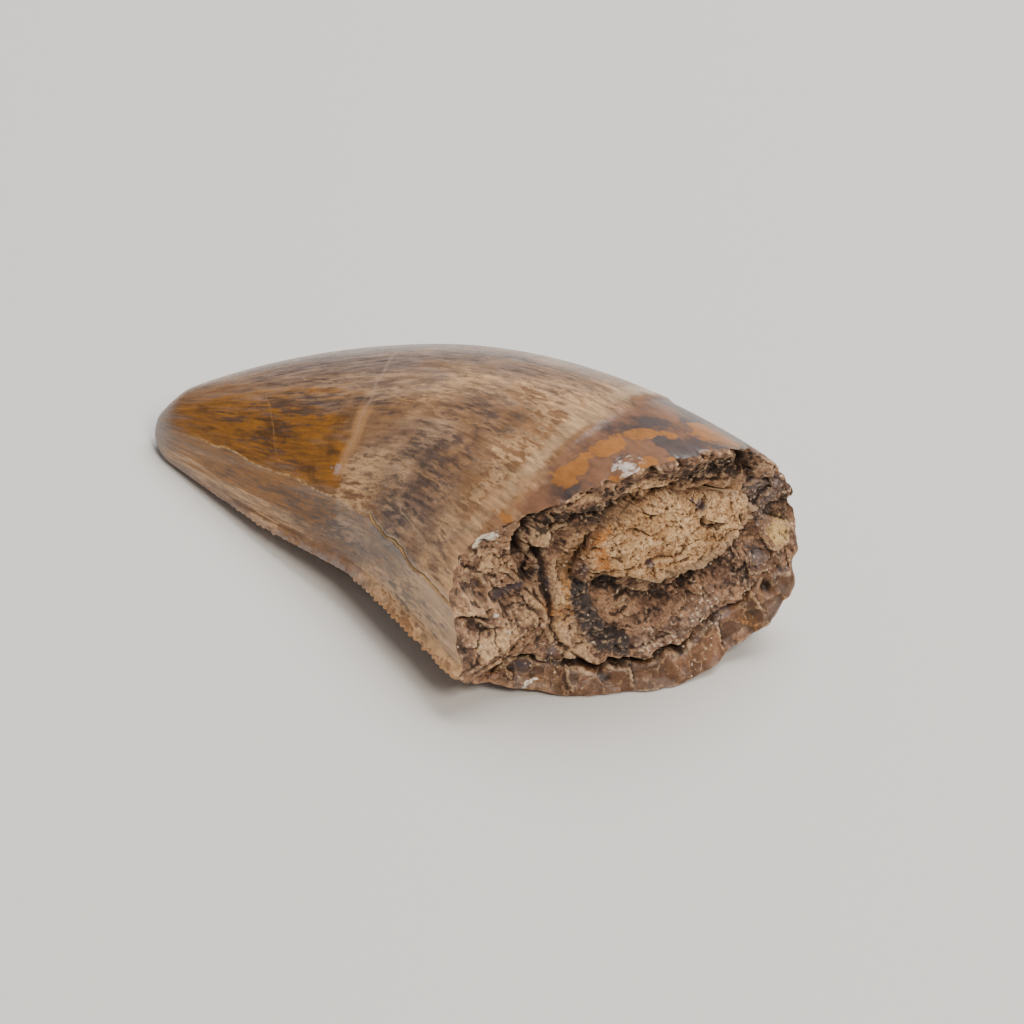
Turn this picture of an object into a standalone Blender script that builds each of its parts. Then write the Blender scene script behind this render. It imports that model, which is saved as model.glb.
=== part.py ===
"""Shed tyrannosaur tooth, lying on its flank: the crown with a stub of root, and the
sandstone still packed in its pulp cavity."""

import math

import bmesh
import bpy
import numpy as np
from mathutils import Vector

MM = 0.001

# Edges of the crown seen from above, as Bezier controls (x, y) in mm from the base to the tip.
# The tip points along -X. The mesial edge bulges to +Y, the serrated distal edge faces -Y.
MESIAL = ((0.0, 14.0), (-26.0, 14.0), (-37.5, 3.0), (-40.7, -7.9))
DISTAL = ((0.0, -8.2), (-28.5, -7.8), (-9.5, -7.3), (-40.2, -10.8))
CENTRE_SHIFT = (21.18, -1.69)  # puts the origin under the middle of the tooth

AXIS_BASE, AXIS_TIP, AXIS_BOW = 7.0, 1.7, 0.45  # height of the middle line, mm
FLANK_UP, FLANK_DOWN = 8.8, 6.9  # half thicknesses at the base, mm
TAPER, TIP_THICKNESS = 0.54, 0.08
DOME_FROM = 0.965  # the crown rounds over past this share of its length
ROUND_MESIAL_UP, ROUND_MESIAL_DOWN = 0.52, 0.48
ROUND_DISTAL_UP, ROUND_DISTAL_DOWN = (0.58, 0.68), 0.72
CARINA_DROP = (-4.4, 0.5, -1.5)  # base, bow, tip: the carina runs low on the distal side

# Degrees round the section: 0 mesial, 90 upper flank, 180 carina, 270 lower flank.
SHOULDER = (159.0, 151.0, 131.0)  # where the upper flank turns into the flat distal facet
FACET_HOLLOW = 0.18
BROKEN_END = {  # degrees: share of the length that is lost there
    0: 0.065, 36: 0.060, 72: 0.043, 108: 0.068, 144: 0.140,
    180: 0.080, 216: 0.088, 252: 0.043, 288: 0.018, 324: 0.035,
}
LOST_CHIP = (298.0, 14.0, 0.0125)  # a chip gone from the lower rim: degrees, width, share

DENTICLES = 54
KEEL, DENTICLE = 0.30, 0.26
WORN_TIP = 0.93  # the denticles are worn away past this share of the length
RUBBED, RUBBED_OFF = (0.389, 0.479, 0.727, 0.794), 0.8  # shares where the edge is rubbed smooth

UPPER_COLUMNS, FACET_COLUMNS, LOWER_COLUMNS = 17, 3, 15
CARINA = UPPER_COLUMNS + FACET_COLUMNS
COLUMNS = CARINA + LOWER_COLUMNS
BODY_STEP = 4  # rings of the serrated edge to one of the crown
RIM_SPLIT = 3  # columns of the broken end to one of the crown
RIM_BAND = 0.012  # share of the length from the crown's first ring to the broken rim
FACE_RINGS = 22

# The pulp cavity and the sandstone in it share an outline in the broken end. From here on
# every place in the broken end is (across, up) in mm from the middle of the finished tooth.
FILL_OUTLINE = (
    (-0.3, 6.9), (0.6, 6.4), (1.7, 6.0), (3.0, 6.0), (4.3, 5.9), (5.6, 6.25), (6.9, 6.8),
    (8.0, 7.7), (8.7, 8.9), (8.2, 9.9), (7.1, 10.5), (5.8, 10.9), (4.2, 11.3), (2.6, 11.9),
    (1.2, 11.9), (0.2, 11.2), (-0.9, 10.3), (-1.9, 9.3), (-2.4, 8.3), (-2.5, 7.3), (-2.0, 6.7),
    (-1.2, 7.0),
)
FILL_MIDDLE = (3.6, 8.8)
GAP = 0.3  # between the sandstone and the cavity
CAVITY_DEPTH = 3.6
CAVITY_WALL = ((0.35, 0.96), (0.7, 0.90), (1.0, 0.78), (1.0, 0.4))  # share of depth, narrowing
CAVITY_CENTRE, CAVITY_TILT = (3.91, 8.5), math.radians(12.0)  # the layers run along these axes
MOUTH_X = -4.4  # the cavity's mouth, behind the base
FILL_FRONT = 0.4
FILL_GRID = (24, 16)

# Cracks and ridges of the broken end: corners, half width and height in mm.
CREVICE = ((1.0, 11.6), (-0.3, 11.3), (-1.9, 10.8), (-3.0, 10.0))
GROOVE = (
    (-2.6, 10.3), (-3.1, 9.6), (-3.5, 8.4), (-3.8, 6.7), (-4.0, 5.2), (-4.3, 4.0), (-4.6, 3.2),
)
ROD = ((-4.0, 5.0), (-3.5, 6.4), (-3.0, 7.8), (-2.0, 9.3), (-0.9, 10.2), (0.6, 10.9))
CLEFT = ((-3.6, 11.5), (-4.2, 10.5), (-4.8, 9.2), (-4.7, 7.9))
CHIP_CRACK = (
    (-6.4, 2.4), (-5.3, 2.2), (-3.2, 1.7), (-0.6, 1.5), (0.9, 1.5), (2.3, 1.9), (3.0, 1.8),
    (4.3, 2.5), (6.0, 2.6), (7.7, 3.4), (9.0, 4.4),
)
STROKES = (
    (CREVICE, 0.34, -0.8),
    (GROOVE, 0.27, -0.5),
    (ROD, 0.3, 0.36),
    (CLEFT, 0.3, -0.9),
    (CHIP_CRACK, 0.27, -0.75),
    (((-1.6, 3.3), (0.4, 3.7), (2.2, 3.6), (5.4, 3.7), (7.4, 4.2), (9.2, 5.0)), 0.55, 0.35),
    (((-0.3, 5.5), (1.2, 5.0), (2.8, 4.8), (5.9, 5.2), (8.0, 6.2), (9.0, 7.4)), 0.45, -0.5),
    (((0.1, 2.3), (2.6, 2.9), (5.1, 3.8), (6.3, 4.3)), 0.5, 0.22),
    (((-3.9, 5.0), (-3.6, 3.6), (-2.9, 2.4), (-2.2, 1.6)), 0.25, -0.35),
    (((6.9, 13.9), (7.7, 12.9), (8.4, 11.6), (8.9, 10.3)), 0.3, -0.7),
)
# Pits and knobs: across, up, half across, half up, height, turned (degrees).
SPOTS = (
    (5.4, 5.5, 0.9, 0.35, -0.5, 10), (1.7, 3.95, 0.9, 0.35, -0.35, 15),
    (-0.4, 3.3, 0.9, 0.35, -0.35, 15), (8.2, 5.0, 0.5, 0.4, -0.5, 0),
    (-3.9, 8.2, 0.4, 0.4, -0.6, 0), (-4.3, 7.0, 0.4, 0.4, -0.6, 0),
    (-7.6, 7.8, 0.4, 0.4, -0.4, 0), (-8.0, 4.65, 0.55, 0.4, -0.5, 0),
    (-0.5, 6.1, 0.75, 0.65, -0.9, 0), (-1.7, 5.4, 0.8, 1.9, -0.3, 12),
    (10.6, 6.4, 0.75, 0.65, 0.3, 0), (10.0, 11.3, 1.2, 0.9, 0.3, 0),
    (-7.4, 4.0, 1.4, 0.4, 0.3, 25),
)
# Flat faces among the splinters: middle, halves, turned (degrees), level, lean, rise.
PLATES = (
    (-7.1, 6.4, 0.75, 0.75, 20, 0.08, 0.12, -0.1), (-5.6, 6.25, 1.15, 0.4, 12, -0.28, 0.0, 0.12),
    (-4.75, 5.65, 0.4, 0.62, 10, 0.2, 0.14, 0.0), (-5.4, 5.1, 0.5, 0.45, -20, 0.16, 0.1, 0.15),
    (-3.7, 9.5, 0.42, 0.8, -12, 0.42, 0.1, -0.1), (0.3, 4.5, 0.8, 0.35, 30, -0.12, 0.1, 0.2),
    (-5.5, 1.7, 0.75, 0.42, 5, -0.3, 0.05, 0.1), (-3.9, 2.3, 0.75, 0.6, -20, -0.12, -0.15, 0.1),
    (9.2, 5.3, 0.7, 0.6, -10, -0.15, 0.2, -0.1), (9.5, 9.6, 0.9, 0.5, -40, -0.1, -0.2, 0.15),
)
# Scars of flakes off the lower rim: across, up, radius, level, lean.
CHIPS = (
    (-7.8, 1.9, 1.1, -0.05, 0.15), (-5.0, 1.4, 1.6, -0.1, 0.15), (-1.9, 0.7, 1.5, 0.14, -0.15),
    (1.3, 0.7, 1.4, -0.1, 0.2), (4.2, 1.3, 1.6, 0.08, -0.12), (7.2, 2.4, 1.4, -0.1, 0.18),
    (9.4, 3.9, 1.3, 0.05, 0.12),
)
WEDGE_UP = (0.0, 2.4, 3.6, 5.2, 6.7, 8.4, 10.0)  # the splintered wedge reaches from the
WEDGE_TO = (-6.3, -5.7, -5.1, -4.4, -3.9, -3.6, -3.1)  # distal rim to here, by height
FAN_FROM = (-3.2, 6.2)  # the splinters fan out from here
BROAD_TABLE, FINE_TABLE = (
    np.random.default_rng(seed).uniform(-1.0, 1.0, (32, 32, 32)) for seed in (11, 29)
)


def bezier(controls, s):
    p = np.asarray(controls, float)
    s = np.asarray(s, float)[..., None]
    return (
        (1 - s) ** 3 * p[0]
        + 3 * (1 - s) ** 2 * s * p[1]
        + 3 * (1 - s) * s**2 * p[2]
        + s**3 * p[3]
    )


def bowed(base, bow, tip, s):
    return base * (1 - s) + tip * s + bow * 4 * s * (1 - s)


def flank_point(s, turn):
    """A point of the smooth oval section, before the distal facet is cut."""
    mesial, distal = bezier(MESIAL, s), bezier(DISTAL, s)
    c = np.cos(np.radians(turn))
    up = np.sin(np.radians(turn)) >= 0
    distal_up = ROUND_DISTAL_UP[0] + (ROUND_DISTAL_UP[1] - ROUND_DISTAL_UP[0]) * s
    power = np.where(
        c >= 0,
        np.where(up, ROUND_MESIAL_UP, ROUND_MESIAL_DOWN),
        np.where(up, distal_up, ROUND_DISTAL_DOWN),
    )
    taper = TIP_THICKNESS + (1 - TIP_THICKNESS) * (1 - s).clip(0) ** TAPER
    dome = np.sqrt((1 - ((s - DOME_FROM) / (1 - DOME_FROM)).clip(0, 1) ** 2).clip(0))
    swell = (1 - c * c).clip(0) ** power * taper * dome
    drop = bowed(*CARINA_DROP, s) * ((1 - c) / 2) ** np.where(up, 2, 4) * dome
    z = bowed(AXIS_BASE, AXIS_BOW, AXIS_TIP, s) + np.where(up, FLANK_UP, -FLANK_DOWN) * swell + drop
    across = (mesial + distal) / 2 + (mesial - distal) / 2 * (c * dome)[..., None]
    return np.concatenate([across, z[..., None]], -1)


def shoulder_turn(s):
    a, b, c = SHOULDER
    return a * (1 - s) ** 2 + 2 * b * s * (1 - s) + c * s * s


def surface_point(s, turn):
    """A point of the crown, with the facet between the shoulder and the carina."""
    s, turn = np.broadcast_arrays(np.asarray(s, float), np.asarray(turn, float))
    point = flank_point(s, turn)
    edge = shoulder_turn(s)
    along = ((turn - edge) / (180 - edge)).clip(0, 1)[..., None]
    top, foot = flank_point(s, edge), flank_point(s, np.full_like(s, 180.0))
    facet = top + (foot - top) * along
    inward = np.array([0.25, 1.0, 0.0]) * FACET_HOLLOW
    facet = facet + inward * 4 * along * (1 - along) * (1 - s)[..., None]
    on_facet = ((turn > edge) & (turn <= 180))[..., None]
    point = np.where(on_facet, facet, point)
    point[..., 2] = point[..., 2].clip(0)
    return point


def lost_share(turn):
    """How much of the length is broken off, smoothly round the section."""
    keys = sorted(BROKEN_END)
    values = [BROKEN_END[k] for k in keys]
    step = 360 / len(keys)
    at = np.asarray(turn, float) / step
    i = np.floor(at).astype(int)
    t = at - i
    p = [np.take(values, (i + k) % len(keys)) for k in (-1, 0, 1, 2)]
    return 0.5 * (
        2 * p[1] + (p[2] - p[0]) * t
        + (2 * p[0] - 5 * p[1] + 4 * p[2] - p[3]) * t * t
        + (3 * p[1] - p[0] - 3 * p[2] + p[3]) * t**3
    ) + LOST_CHIP[2] * np.exp(-(((turn - LOST_CHIP[0]) / LOST_CHIP[1]) ** 2))


def ease(low, high, value):
    """0 before low to 1 past high, smoothly."""
    t = np.clip((value - low) / (high - low), 0.0, 1.0)
    return t * t * (3 - 2 * t)


def lattice(table, x, y, z=0.0):
    """Smooth repeatable noise from -1 to 1; one unit is one cell."""
    axes = np.broadcast_arrays(x, y, z)
    cell = [np.floor(v).astype(int) for v in axes]
    soft = [ease(0.0, 1.0, v - c) for v, c in zip(axes, cell)]
    total = np.zeros(axes[0].shape)
    for corner in range(8):
        bits = [(corner >> k) & 1 for k in range(3)]
        weight = np.ones(total.shape)
        for share, bit in zip(soft, bits):
            weight = weight * (share if bit else 1 - share)
        total += weight * table[tuple((c + b) % 32 for c, b in zip(cell, bits))]
    return total


def facets(table, u, v, tilt):
    """Broken facets, each flat at its own height and tilt; one unit is one facet."""
    u, v = np.broadcast_arrays(u, v)
    iu, iv = np.floor(u).astype(int), np.floor(v).astype(int)
    nearest, height = np.full(u.shape, 9.0), np.zeros(u.shape)
    for du in (-1, 0, 1):
        for dv in (-1, 0, 1):
            throw = table[(iu + du) % 32, (iv + dv) % 32]
            off_u = u - (iu + du + 0.5 + 0.45 * throw[..., 0])
            off_v = v - (iv + dv + 0.5 + 0.45 * throw[..., 1])
            gap = np.hypot(off_u, off_v)
            plane = throw[..., 2] + tilt * (throw[..., 3] * off_u + throw[..., 4] * off_v)
            height = np.where(gap < nearest, plane, height)
            nearest = np.minimum(nearest, gap)
    return height


def turned_by(degrees, y, z):
    c, s = math.cos(math.radians(degrees)), math.sin(math.radians(degrees))
    return y * c + z * s, z * c - y * s


def stroke(path, width, weight, y, z):
    """A crack or a ridge along a line, running out at both ends."""
    nearest, along = np.full(y.shape, np.inf), np.zeros(y.shape)
    corners = np.asarray(path)
    runs = np.linalg.norm(np.diff(corners, axis=0), axis=1)
    start = 0.0
    for (y0, z0), (y1, z1), run in zip(corners, corners[1:], runs):
        t = (((y - y0) * (y1 - y0) + (z - z0) * (z1 - z0)) / run**2).clip(0, 1)
        gap = np.hypot(y - y0 - t * (y1 - y0), z - z0 - t * (z1 - z0))
        along = np.where(gap < nearest, (start + t * run) / runs.sum(), along)
        nearest = np.minimum(nearest, gap)
        start += run
    ends = ease(0.0, 0.08, along) * ease(1.0, 0.92, along)
    return weight * np.exp(-((nearest / width) ** 2)) * (0.35 + 0.65 * ends)


def wedge_relief(y, z):
    """Distal wedge: splinters that fan out below, broken blocks above."""
    bent = 0.5 * lattice(BROAD_TABLE, y / 1.6, z / 1.6, 13.0)
    away_y, away_z = y - FAN_FROM[0], z - FAN_FROM[1]
    fan = np.arctan2(away_z, -away_y) * 5.0 + bent
    reach = np.hypot(away_y, away_z) + 0.6 * lattice(BROAD_TABLE, fan / 0.6, fan * 0, 17.0)
    splinter = 0.3 * facets(BROAD_TABLE, fan / 0.85, reach / 2.7, 0.8)
    block = 0.38 * facets(BROAD_TABLE, (y + bent) / 1.15, z / 1.15, 1.2)
    low = ease(5.6, 4.4, z + bent)
    return low * splinter + (1 - low) * block


def chip_relief(y, z):
    """Flake scars along the lower rim, each with a step to the next."""
    nearest, height = np.full(y.shape, 9.0), np.zeros(y.shape)
    across = y + 0.3 * lattice(BROAD_TABLE, y / 1.1, z / 1.1, 21.0)
    for middle, up, radius, level, tilt in CHIPS:
        lean = (across - middle) / radius
        reach = np.hypot(lean, 0.7 * (z - up) / radius)
        scar = level + tilt * lean + 0.19 * reach**2 - 0.18
        height = np.where(reach < nearest, scar, height)
        nearest = np.minimum(nearest, reach)
    return height


def core_relief(y, z):
    """The sugary core, in layers that run along the pulp cavity."""
    dy, dz = y - CAVITY_CENTRE[0], z - CAVITY_CENTRE[1]
    p, q = turned_by(math.degrees(CAVITY_TILT), dy, dz)
    bend = lattice(BROAD_TABLE, p / 1.7, q / 1.7, 3.0)
    layer = facets(BROAD_TABLE, p / 3.0, (q + 0.35 * bend) / 0.75, 0.8)
    lump = lattice(BROAD_TABLE, y / 0.9, z / 0.9)
    chunk = facets(FINE_TABLE, y / 1.4, (z + 3) / 1.4, 1.1)
    right = (ease(7.4, 9.0, y) + ease(9.8, 10.8, z) * ease(7.4, 6.4, y)).clip(0, 1)
    return (1 - 0.6 * right) * 0.17 * layer + 0.15 * lump + right * 0.32 * chunk


def face_relief(y, z, inward):
    """How far the broken face stands out of its mean surface; inward runs 0 rim to 1 cavity."""
    wedge = ease(0.0, 0.35, np.interp(z, WEDGE_UP, WEDGE_TO) - y)
    crack = np.asarray(CHIP_CRACK)
    low = ease(0.0, 0.25, np.interp(y, crack[:, 0], crack[:, 1]) - z) * (1 - wedge)
    relief = wedge * wedge_relief(y, z) + low * chip_relief(y, z)
    relief += (1 - np.maximum(wedge, low)) * core_relief(y, z)
    warped_y = y + 0.22 * lattice(BROAD_TABLE, y / 0.9, z / 0.9, 5.0)
    warped_z = z + 0.22 * lattice(BROAD_TABLE, y / 0.9, z / 0.9, 9.0)
    for path, width, weight in STROKES:
        relief += stroke(path, width, weight, warped_y, warped_z)
    for across, up, half_across, half_up, weight, turned in SPOTS:
        a, b = turned_by(turned, warped_y - across, warped_z - up)
        relief += weight * np.exp(-0.7 * ((a / half_across) ** 2 + (b / half_up) ** 2))
    for across, up, half_across, half_up, turned, level, lean, rise in PLATES:
        a, b = turned_by(turned, warped_y - across, warped_z - up)
        a, b = a / half_across, b / half_up
        share = ease(1.1, 0.85, (np.abs(a) ** 3 + np.abs(b) ** 3) ** (1 / 3))
        relief = relief * (1 - share) + share * (level + lean * a + rise * b)
    return relief * ease(0.0, 0.11, inward)


def fill_reach(angle):
    """How far the sandstone's outline lies from its middle at these angles."""
    corners = np.asarray(FILL_OUTLINE) - FILL_MIDDLE
    at = np.arctan2(corners[:, 1], corners[:, 0])
    order = np.argsort(at)
    at, length = at[order], np.linalg.norm(corners, axis=1)[order]
    at = np.concatenate([at - 2 * np.pi, at, at + 2 * np.pi])
    return np.interp(angle, at, np.tile(length, 3))


def fill_surface(y, z, share):
    """How far the sandstone's weathered front stands out of the cavity's mouth."""
    dy, dz = y - CAVITY_CENTRE[0], z - CAVITY_CENTRE[1]
    p, q = turned_by(math.degrees(CAVITY_TILT), dy, dz)
    bend = 0.5 * lattice(BROAD_TABLE, p / 1.6, q / 1.6, 6.0)
    height = FILL_FRONT + 0.05 * (y - 3.6) + 0.2 * lattice(BROAD_TABLE, y / 1.9, z / 1.9)
    height += 0.18 * facets(BROAD_TABLE, (p + bend) / 1.7, (q + bend) / 0.95, 0.9)
    height += 0.1 * facets(FINE_TABLE, y / 0.7, z / 0.7, 1.0)
    under = ease(8.4, 7.0, z) * ease(-0.6, 0.8, y)
    left = ease(1.0, -2.4, y)
    edge = ease(0.91, 1.0, share) * (0.45 + 0.9 * under) * (1 - 0.6 * left)
    return height - 1.25 * left - edge


def rim_share(turn):
    """Share of the length at the ragged rim of the broken end."""
    ragged = 0.007 * lattice(FINE_TABLE, turn / 12.0, turn * 0 + 5)
    ragged = ragged + 0.003 * lattice(FINE_TABLE, turn / 4.2, turn * 0 + 1)
    return lost_share(turn) + ragged * ease(0, 12, turn) * ease(360, 348, turn)


# --- solids ---
def ring_shares():
    """Shares of the remaining length, two to a denticle, then closer ones over the round tip."""
    start = BROKEN_END[180] + RIM_BAND
    s = np.linspace(start, 1, 400)
    edge = bezier(DISTAL, s)
    run = np.concatenate([[0], np.cumsum(np.linalg.norm(np.diff(edge, axis=0), axis=1))])
    last = np.interp(WORN_TIP, s, run)
    s = np.interp(np.linspace(0, last, 2 * DENTICLES + 1), run, s)
    s = np.concatenate([s, [0.955, 0.972, 0.984, 0.993, 0.9985]])
    return (s - start) / (1 - start)


def column_turn(j, s):
    """Degrees round the section of column j where the length is s."""
    edge = shoulder_turn(s)
    if j < UPPER_COLUMNS:
        return edge * j / UPPER_COLUMNS
    k = j - UPPER_COLUMNS
    if k < FACET_COLUMNS:
        return edge + (180 - edge) * (0.01, 0.45, 0.85)[k]
    return 180 + 180 * (k - FACET_COLUMNS) / LOWER_COLUMNS + 0 * s


def keeled(points, s, height):
    """Points of the distal edge, carried out to a keel of this height."""
    out = bezier(DISTAL, s) - bezier(MESIAL, s)
    out = out / np.linalg.norm(out, axis=-1, keepdims=True)
    points[..., :2] += out * height[..., None]
    points[..., 2] -= 0.35 * height
    return points


def crown_points():
    """Points [ring, column] of the crown, its ring numbers, and all the edge's own points."""
    shares = ring_shares()
    serrated = 2 * DENTICLES
    body = [*range(0, serrated, BODY_STEP), *range(serrated, len(shares))]
    points = np.empty((len(body), COLUMNS, 3))
    for j in range(COLUMNS):
        start = float(lost_share(column_turn(j, 0.1))) + RIM_BAND
        s = start + (1 - start) * shares[body]
        points[:, j] = surface_point(s, column_turn(j, s))
    start = BROKEN_END[180] + RIM_BAND
    s = start + (1 - start) * shares
    worn = ((WORN_TIP + 0.03 - s) / 0.16).clip(0, 1)
    rubbed = RUBBED_OFF * ease(RUBBED[0], RUBBED[1], s) * ease(RUBBED[3], RUBBED[2], s)
    height = (KEEL + DENTICLE * (1 - rubbed) * (np.arange(len(s)) % 2)) * worn
    return points, body, keeled(surface_point(s, s * 0 + 180.0), s, height)


def broken_end(turns):
    """Points [ring, column] of the broken end, from its rim into the pulp cavity."""
    s = rim_share(turns)
    rim = surface_point(s, turns)
    on_edge = np.where(turns == 180.0, KEEL, 0.0)
    rim = keeled(rim, s, on_edge)
    even = keeled(surface_point(lost_share(turns), turns), s, on_edge)
    across, up = even[:, 1] + CENTRE_SHIFT[1] - FILL_MIDDLE[0], even[:, 2] - FILL_MIDDLE[1]
    angle = np.arctan2(up, across)
    reach = fill_reach(angle) + GAP
    mouth = np.stack([
        MOUTH_X + 0.25 * (rim[:, 0] + 2.46),
        FILL_MIDDLE[0] - CENTRE_SHIFT[1] + reach * np.cos(angle),
        FILL_MIDDLE[1] + reach * np.sin(angle),
    ], -1)
    inward = (np.arange(1, FACE_RINGS + 1) / FACE_RINGS)[:, None]
    from_rim = inward * np.linalg.norm(mouth - even, axis=-1)
    face = even + (mouth - even) * inward[..., None]
    face += (rim - even) * np.exp(-from_rim / 0.45)[..., None]
    face[..., 0] += face_relief(face[..., 1] + CENTRE_SHIFT[1], face[..., 2], inward)
    rows = [rim, *face]
    for depth, narrowing in CAVITY_WALL:
        wall = mouth.copy()
        wall[:, 0] = face[-1, :, 0] + (MOUTH_X - CAVITY_DEPTH - face[-1, :, 0]) * depth
        wall[:, 1] = FILL_MIDDLE[0] - CENTRE_SHIFT[1] + reach * narrowing * np.cos(angle)
        wall[:, 2] = FILL_MIDDLE[1] + reach * narrowing * np.sin(angle)
        rows.append(wall)
    return rows


def stitch(bm, a, b, row):
    """Triangles between the edge from a to b and a row of more vertices beside it."""
    half = len(row) // 2
    for near, far in zip(row[:half], row[1:]):
        bm.faces.new((a, near, far))
    bm.faces.new((a, row[half], b))
    for near, far in zip(row[half:], row[half + 1 :]):
        bm.faces.new((b, near, far))


def tooth_mesh():
    crown, body, edge = crown_points()
    bm = bmesh.new()
    edge = [bm.verts.new(p) for p in edge]
    rings = [
        [edge[at] if j == CARINA else bm.verts.new(p) for j, p in enumerate(ring)]
        for at, ring in zip(body, crown)
    ]
    tip = bm.verts.new(surface_point(1.0, 0.0))
    for (first, near), (last, far) in zip(zip(body, rings), zip(body[1:], rings[1:])):
        for j in range(COLUMNS):
            k = (j + 1) % COLUMNS
            if j == CARINA - 1:
                stitch(bm, near[j], far[j], edge[first : last + 1])
            elif j == CARINA:
                stitch(bm, near[k], far[k], edge[first : last + 1])
            else:
                bm.faces.new((near[j], near[k], far[k], far[j]))
    for j in range(COLUMNS):
        bm.faces.new((rings[-1][j], rings[-1][(j + 1) % COLUMNS], tip))

    coarse = [float(column_turn(j, 0.1)) for j in range(COLUMNS)] + [360.0]
    count = RIM_SPLIT * COLUMNS
    turns = np.interp(np.arange(count) / RIM_SPLIT, np.arange(COLUMNS + 1), coarse)
    rows = [[bm.verts.new(p) for p in row] for row in broken_end(turns)]
    for j in range(COLUMNS):
        row = [rows[0][(RIM_SPLIT * j + k) % count] for k in range(RIM_SPLIT + 1)]
        stitch(bm, rings[0][j], rings[0][(j + 1) % COLUMNS], row)
    for near, far in zip(rows, rows[1:]):
        for j in range(count):
            k = (j + 1) % count
            bm.faces.new((near[j], near[k], far[k], far[j]))
    floor_y = FILL_MIDDLE[0] - CENTRE_SHIFT[1]
    floor = bm.verts.new((MOUTH_X - CAVITY_DEPTH, floor_y, FILL_MIDDLE[1]))
    for j in range(count):
        bm.faces.new((rows[-1][j], rows[-1][(j + 1) % count], floor))
    return bm


def fill_mesh():
    """Sandstone plug: a rough front, a little proud of the mouth, and a smooth hidden body."""
    across, along = FILL_GRID
    row, column = np.mgrid[0 : along + 1, 0 : across + 1]
    a, b = 2 * column / across - 1, 2 * row / along - 1
    u, v = a * np.sqrt(1 - b * b / 2), b * np.sqrt(1 - a * a / 2)  # a square grid made round
    angle, share = np.arctan2(v, u * 1.6), np.hypot(u, v)
    reach = fill_reach(angle)
    y = FILL_MIDDLE[0] + reach * share * np.cos(angle)
    z = FILL_MIDDLE[1] + reach * share * np.sin(angle)
    front = np.stack([MOUTH_X + fill_surface(y, z, share), y - CENTRE_SHIFT[1], z], -1)

    edge = [(0, j) for j in range(across)] + [(i, across) for i in range(along)]
    edge += [(along, j) for j in range(across, 0, -1)] + [(i, 0) for i in range(along, 0, -1)]
    back_x, middle_y = MOUTH_X - (CAVITY_DEPTH - GAP - 0.1), FILL_MIDDLE[0] - CENTRE_SHIFT[1]
    middle = np.array([back_x, middle_y, FILL_MIDDLE[1]])
    bm = bmesh.new()
    cells = [[bm.verts.new(p) for p in line] for line in front]
    for i in range(along):
        for j in range(across):
            bm.faces.new((cells[i][j], cells[i][j + 1], cells[i + 1][j + 1], cells[i + 1][j]))
    near = [cells[i][j] for i, j in edge]
    outline = np.array([front[i, j] for i, j in edge])
    for depth, narrowing in CAVITY_WALL[:3]:
        ring = middle + (outline - middle) * (1 - depth, narrowing, narrowing)
        far = [bm.verts.new(p) for p in ring]
        for j in range(len(edge)):
            k = (j + 1) % len(edge)
            bm.faces.new((near[j], near[k], far[k], far[j]))
        near = far
    back = bm.verts.new(middle)
    for j in range(len(edge)):
        bm.faces.new((near[j], near[(j + 1) % len(edge)], back))
    return bm


def make_node(name, bm, collection, colour, roughness):
    shift = Vector((CENTRE_SHIFT[0], CENTRE_SHIFT[1], 0.0))
    for v in bm.verts:
        v.co = (v.co + shift) * MM
    bmesh.ops.recalc_face_normals(bm, faces=bm.faces)
    if bm.calc_volume(signed=True) < 0:
        bmesh.ops.reverse_faces(bm, faces=bm.faces)
    mesh = bpy.data.meshes.new(name)
    bm.to_mesh(mesh)
    bm.free()
    mesh.shade_smooth()
    mesh.set_sharp_from_angle(angle=math.radians(40))
    obj = bpy.data.objects.new(name, mesh)
    collection.objects.link(obj)
    material = bpy.data.materials.new(name + "_material")
    material.use_nodes = True
    shader = material.node_tree.nodes["Principled BSDF"]
    shader.inputs["Base Color"].default_value = (*colour, 1.0)
    shader.inputs["Roughness"].default_value = roughness
    mesh.materials.append(material)
    return obj


def main():
    for obj in list(bpy.data.objects):
        bpy.data.objects.remove(obj)
    collection = bpy.data.collections.new("tyrannosaur_tooth")
    bpy.context.scene.collection.children.link(collection)
    make_node("tooth", tooth_mesh(), collection, (0.17, 0.09, 0.045), 0.3)
    make_node("sediment_fill", fill_mesh(), collection, (0.36, 0.25, 0.14), 0.9)


main()
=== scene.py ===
"""A tyrannosaur tooth lying on its flank: the enamelled crown with a stub of root, its
broken end, and the sandstone still packed in its pulp cavity.

Sizes are in millimetres in the tooth's own frame: +Z up, the tip towards -X, the serrated
distal edge towards -Y, and the origin on the table under the middle of the tooth.
"""

import logging
import math
from dataclasses import dataclass, field
from enum import Enum

import bpy
import numpy as np
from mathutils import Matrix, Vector, noise

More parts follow.
